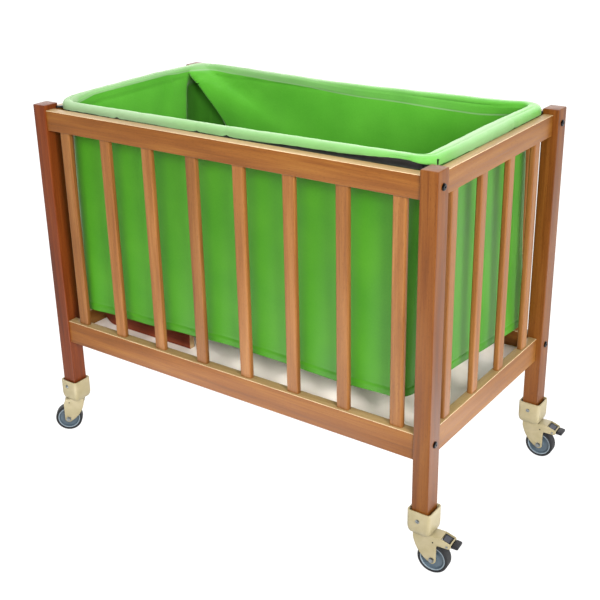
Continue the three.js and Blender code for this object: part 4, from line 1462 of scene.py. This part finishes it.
# Cross-recessed pan head, drawn with its face towards -Y
panHead = {"radius": 5.4, "height": 2.8, "slot": 1.4, "slotLong": 6.4, "slotDeep": 1.8}


def makePanHead():
    radius, height = panHead["radius"], panHead["height"]
    face = [(radius * math.cos(a), -height * math.sin(a) ** 0.8) for a in (0.0, 0.35, 0.7, 1.0, 1.25, 1.45)]
    screw = startTurned("pan_head", [(0.01, 0.6), (radius, 0.6)] + face + [(0.01, -height)], 28)
    bars = []
    for turn in (0.4, 0.4 + math.pi / 2):
        long, deep, wide = (panHead[key] / 2 * mm for key in ("slotLong", "slotDeep", "slot"))
        bar = startBox("bar", (-long, -deep, -wide), (long, deep, wide))
        bar.rotation_euler.y = turn
        bar.location.y = -height * mm
        applyPlace(bar)
        bars.append(bar)
    cutAway(screw, *bars)
    return dress(screw, zincSteel, degrees=40)


# Fork: side view with crown, swept leading edge and rounded leg end, and the brake arm where there is one
fork = {
    "lead": 20, "tail": 34, "leadFoot": 92, "sweep": -11, "legEnd": 11, "rim": 1.3,
    "shoulder": 52, "armReach": 78, "armDrop": 9, "armUnder": 84.5, "armNose": 7, "strip": (3.2, 3.0),
    "stripRound": 0.7, "rivet": (1.9, 1.0), "rivetRound": 0.4,
    "rivetPlace": {True: (32, 90.6), False: (24, 95)},      # with and without a brake
}


def forkOutline(braked):
    trail, axleZ, top = castor["trail"], castor["axleZ"], castor["crownTop"]
    end = fork["legEnd"]
    diagonal = end * math.sqrt(0.5)
    outline = [(-fork["lead"] + 2, top), (-fork["lead"], top - 2)]
    outline += curvePoints((-fork["lead"], fork["leadFoot"]), (fork["sweep"], axleZ + end),
                           (trail - diagonal, axleZ - diagonal), 12)
    outline += arcPoints((trail, axleZ), end, 225, 360, 14)[1:]
    legBack = trail + end
    if braked:
        under, reach, nose = fork["armUnder"], fork["armReach"], fork["armNose"]
        outline += arcPoints((legBack + 5, under - 5), 5, 180, 90, 5)
        outline += arcPoints((reach - nose, under + nose), nose, 270, 360, 6)
        outline += [(reach, top - fork["armDrop"])]
        outline += [(fork["shoulder"] + 2, top - 0.6), (fork["shoulder"] - 2, top)]
    else:
        outline += [(legBack, 90), (legBack - 0.6, 92.5)]
        outline += [(fork["tail"] + 1.2, top - 1.6), (fork["tail"] - 1, top)]
    return [(x * mm, z * mm) for x, z in outline]


def makeFork(braked):
    width = castor["outside"] * 2 * mm
    body = startPlate("fork", forkOutline(braked), width, fork["rim"] * mm)
    body.data.materials.append(creamSteel)
    inside = castor["inside"] * mm
    slot = startBox("slot", (-0.1, -inside, -0.001), (0.1, inside, castor["crownUnder"] * mm))
    cutAway(body, slot)
    if braked:
        window = startBox("window", (fork["shoulder"] * mm, -inside, 0.04), (0.1, inside, 0.12))
        cutAway(body, window)
        deep, high = (value * mm for value in fork["strip"])
        top = (castor["crownTop"] - fork["armDrop"]) * mm
        strip = startBox("strip", (fork["armReach"] * mm - deep, -inside - 0.001, top - high),
                         (fork["armReach"] * mm - 0.0002, inside + 0.001, top + 0.0004))
        easeEdges(strip, fork["stripRound"], 3)
        strip.data.materials.append(creamSteel)
        joinInto(body, strip)
    rivetX, rivetZ = fork["rivetPlace"][braked]
    radius, thick = (value * mm for value in fork["rivet"])
    for side in (-1, 1):
        place = (rivetX * mm, side * castor["outside"] * mm, rivetZ * mm)
        rivet = startRound("rivet", radius, thick, place, "y", 20)
        easeEdges(rivet, fork["rivetRound"])
        rivet.data.materials.append(blackBolt)
        joinInto(body, rivet)
    return dress(body, degrees=35)


# Kingpin, nut and washer under the crown: radius, height, depth of its middle below it, rounding and sides
kingpin = {"pin": (5, 12, 5.5, 0.8, 32), "nut": (9.2, 6.5, 5, 0.6, 6), "washer": (11, 1.8, 0.6, 0.4, 40)}


def makeKingpin():
    under = castor["crownUnder"] * mm
    parts = []
    for name, (radius, height, below, edge, sides) in kingpin.items():
        parts.append(startRound(name, radius * mm, height * mm, (0, 0, under - below * mm), "z", sides))
        easeEdges(parts[-1], edge)
    return dress(joinInto(*parts), zincSteel)


# Axle bolt: hexagon head on one side, nut and thread end on the other, a washer under each
axle = {"shank": 3.92, "washer": (7.2, 1.0), "head": (6.3, 4.0), "nut": (6.3, 5.0), "threadEnd": 2.5}


def makeAxle():
    outside = castor["outside"]
    place = (castor["trail"] * mm, castor["axleZ"] * mm)
    length = 2 * outside + axle["nut"][1] + axle["threadEnd"]
    middle = (axle["nut"][1] + axle["threadEnd"]) / 2

    def part(radius, thick, y, sides):
        piece = startRound("part", radius * mm, thick * mm, (place[0], y * mm, place[1]), "y", sides)
        easeEdges(piece, min(0.5, 0.3 * thick))
        return piece

    shank = part(axle["shank"], length, middle, 32)
    parts = []
    for side, (radius, thick) in ((-1, axle["head"]), (1, axle["nut"])):
        washerRadius, washerThick = axle["washer"]
        parts.append(part(washerRadius, washerThick, side * (outside + washerThick / 2), 36))
        parts.append(part(radius, thick, side * (outside + washerThick + thick / 2 - 0.1), 6))
    return dress(joinInto(shank, *parts), zincSteel)


# Wheel: dished hub with a pale rim, and a soft tyre on it
wheel = {
    "radius": 39.8, "half": 15, "tyreInner": 33, "shoulder": 5,
    "rim": 29.6, "setback": 2, "boss": 10.5, "web": 5,
}


def mirrored(half):
    return half + [(radius, -y) for radius, y in reversed(half)]


def makeTyre():
    half, outer, shoulder = wheel["half"], wheel["radius"], wheel["shoulder"]
    profile = [(wheel["tyreInner"], wheel["setback"] - half), (wheel["tyreInner"] + 1.2, 0.6 - half)]
    profile += [(wheel["tyreInner"] + 2.6, 0.1 - half)]
    for k in range(7):
        angle = k / 6 * math.pi / 2
        profile.append((outer - shoulder * (1 - math.sin(angle)), shoulder * (1 - math.cos(angle)) - half))
    profile.append((outer + 0.1, -half / 3))
    tyre = startTurned("tyre", mirrored(profile), 72)
    return dress(tyre, tyreRubber, degrees=50)


def makeHub():
    half, rim, boss, web = wheel["half"], wheel["rim"], wheel["boss"], wheel["web"]
    lip = wheel["setback"] - half
    seat = wheel["tyreInner"]
    profile = [(4.4, -half), (7.2, -half), (8.0, 0.8 - half), (boss - 1, -web - 1.5)]
    profile += [(boss + 0.8, -web - 0.2), (14, -web + 0.3), (18, -web)]
    profile += [(rim - 3.2, -web - 1.2), (rim - 1.2, -web - 3.5)]
    profile += [(rim - 0.2, lip + 0.8), (rim + 0.4, lip), (seat - 0.9, lip - 0.3), (seat - 0.3, lip + 0.3)]
    hub = dress(startTurned("hub", mirrored(profile), 72), hubPlastic, rimPlastic, degrees=40)
    for face in hub.data.polygons:
        middle = face.center
        radius = math.hypot(middle.x, middle.z) / mm
        face.material_index = 1 if radius > rim - 0.4 and abs(middle.y) / mm > half - 4 else 0
    return hub


# Brake pedal: a plate on the pivot, a pad in the arm's window and a black tip outside
pedal = {
    "half": 14.5,
    "pivot": (68, 90.5),
    "thick": 6,
    "padLeft": 54,
    "padRight": 72.6,
    "tipLeft": 80,
    "tipRight": 94.5,
    "edge": 0.8,
    "padInset": (2.4, 0.5),  # and its depth
    "pin": 2.2,
    "pinPlay": 0.3,
    "pinHead": (2.9, 1.4),
}


def makePedal():
    pivotX, pivotZ = pedal["pivot"]
    foot, top = pivotZ - pedal["thick"] / 2, pivotZ + pedal["thick"] / 2
    fall = fork["armDrop"] / (fork["armReach"] - fork["shoulder"])
    padLeft, padRight = pedal["padLeft"], pedal["padRight"]
    tipLeft, tipRight = pedal["tipLeft"], pedal["tipRight"]
    high = castor["crownTop"] - 2.6

    def padTop(x):
        return high - fall * (x - fork["shoulder"])

    outline = [(padLeft, foot), (tipRight - 2, foot - 0.6), (tipRight, foot + 1)]
    outline += [(tipRight, top - 0.4), (tipRight - 1.8, top + 1.2)]
    outline += [(tipLeft + 1.2, top + 2.6), (tipLeft, top + 1.8)]
    outline += [(tipLeft, top), (padRight, top), (padRight, padTop(padRight)), (padLeft, padTop(padLeft))]
    outline = [(x * mm, z * mm) for x, z in outline]
    body = startPlate("pedal", outline, pedal["half"] * 2 * mm, pedal["edge"] * mm, 2)
    body.data.materials.append(pedalPlastic)
    body.data.materials.append(padPlastic)

    def isPad(centre, normal):
        overPad = padLeft * mm < centre.x < padRight * mm and abs(centre.y) < 0.004
        return overPad and normal.z > 0.8 and centre.z > (top + 1) * mm

    pickFaces(body, isPad)
    rim, sunk = (value * mm for value in pedal["padInset"])
    bpy.ops.mesh.inset(thickness=rim)
    bpy.ops.mesh.extrude_region_move(TRANSFORM_OT_translate={"value": (0, 0, -sunk)})
    body.active_material_index = 1
    bpy.ops.object.material_slot_assign()
    leaveEdit()
    radius = (pedal["pin"] + pedal["pinPlay"]) * mm
    cutAway(body, startRound("hole", radius, 60 * mm, (pivotX * mm, 0, pivotZ * mm), "y", 24))
    return dress(body, degrees=35)


# Pivot rivet through the arm
def makePivot():
    pivotX, pivotZ = pedal["pivot"]
    spot = (pivotX * mm, 0, pivotZ * mm)
    pin = startRound("pivot", pedal["pin"] * mm, (castor["outside"] * 2 + 0.6) * mm, spot, "y", 28)
    easeEdges(pin, 0.5)
    radius, thick = (value * mm for value in pedal["pinHead"])
    for side in (-1, 1):
        place = (spot[0], side * (castor["outside"] + 0.5) * mm, spot[2])
        head = startRound("head", radius, thick, place, "y", 28)
        easeEdges(head, 0.6, 3)
        joinInto(pin, head)
    return dress(pin, zincSteel)


def addCastors():
    patterns = {
        "socket": makeSocket(), "screw": makePanHead(), "kingpin": makeKingpin(), "axle": makeAxle(),
        "tyre": makeTyre(), "hub": makeHub(), "pedal": makePedal(), "pivot": makePivot(),
        "braked": makeFork(True), "plain": makeFork(False),
    }
    for corner in cornerNames:
        braked = corner in brakedCorners
        low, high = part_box("post_" + corner)
        tyreLow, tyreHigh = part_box("tyre_" + corner)
        hubMiddle = (tyreLow + tyreHigh) / 2
        base = Vector(((low.x + high.x) / 2, (low.y + high.y) / 2, hubMiddle.z - castor["axleZ"] * mm))
        stand = Matrix.Translation(base)
        away = hubMiddle - base
        swivel = stand @ Matrix.Rotation(math.atan2(away.y, away.x), 4, "Z")
        rolling = swivel @ Matrix.Translation((castor["trail"] * mm, 0, castor["axleZ"] * mm))

        screwX, screwZ = socket["screw"][corner]
        screwed = stand @ Matrix.Translation((screwX * mm, -socket["half"] * mm, screwZ * mm))
        carrier, spun = "castor_" + corner, "wheel_" + corner
        copies = [
            ("socket", "socket_cup_", stand, "cot_frame", "cream_steel", "socket_"),
            ("screw", "socket_screw_", screwed, "cot_frame", "cream_steel", None),
            ("braked" if braked else "plain", "fork_shell_", swivel, carrier, "cream_steel", "fork_"),
            ("kingpin", "kingpin_", swivel, carrier, "cream_steel", None),
            ("axle", "axle_", swivel, carrier, "cream_steel", None),
            ("tyre", "tyre_tread_", rolling, spun, "tyre_rubber", "tyre_"),
            ("hub", "hub_disc_", rolling, spun, "wheel_hub", "hub_"),
        ]
        if braked:
            copies += [
                ("pedal", "pedal_plate_", swivel, "brake_" + corner, "brake_plastic", "brake_pedal_"),
                ("pivot", "pivot_", swivel, carrier, "cream_steel", None),
            ]
        for pattern, name, place, body, slot, node in copies:
            piece = copyPiece(patterns[pattern], name + corner, place)
            settle(piece, body, slot, *([node + corner] if node else []))
    for pattern in patterns.values():
        bpy.data.objects.remove(pattern)


addCastors()
print("castors made")
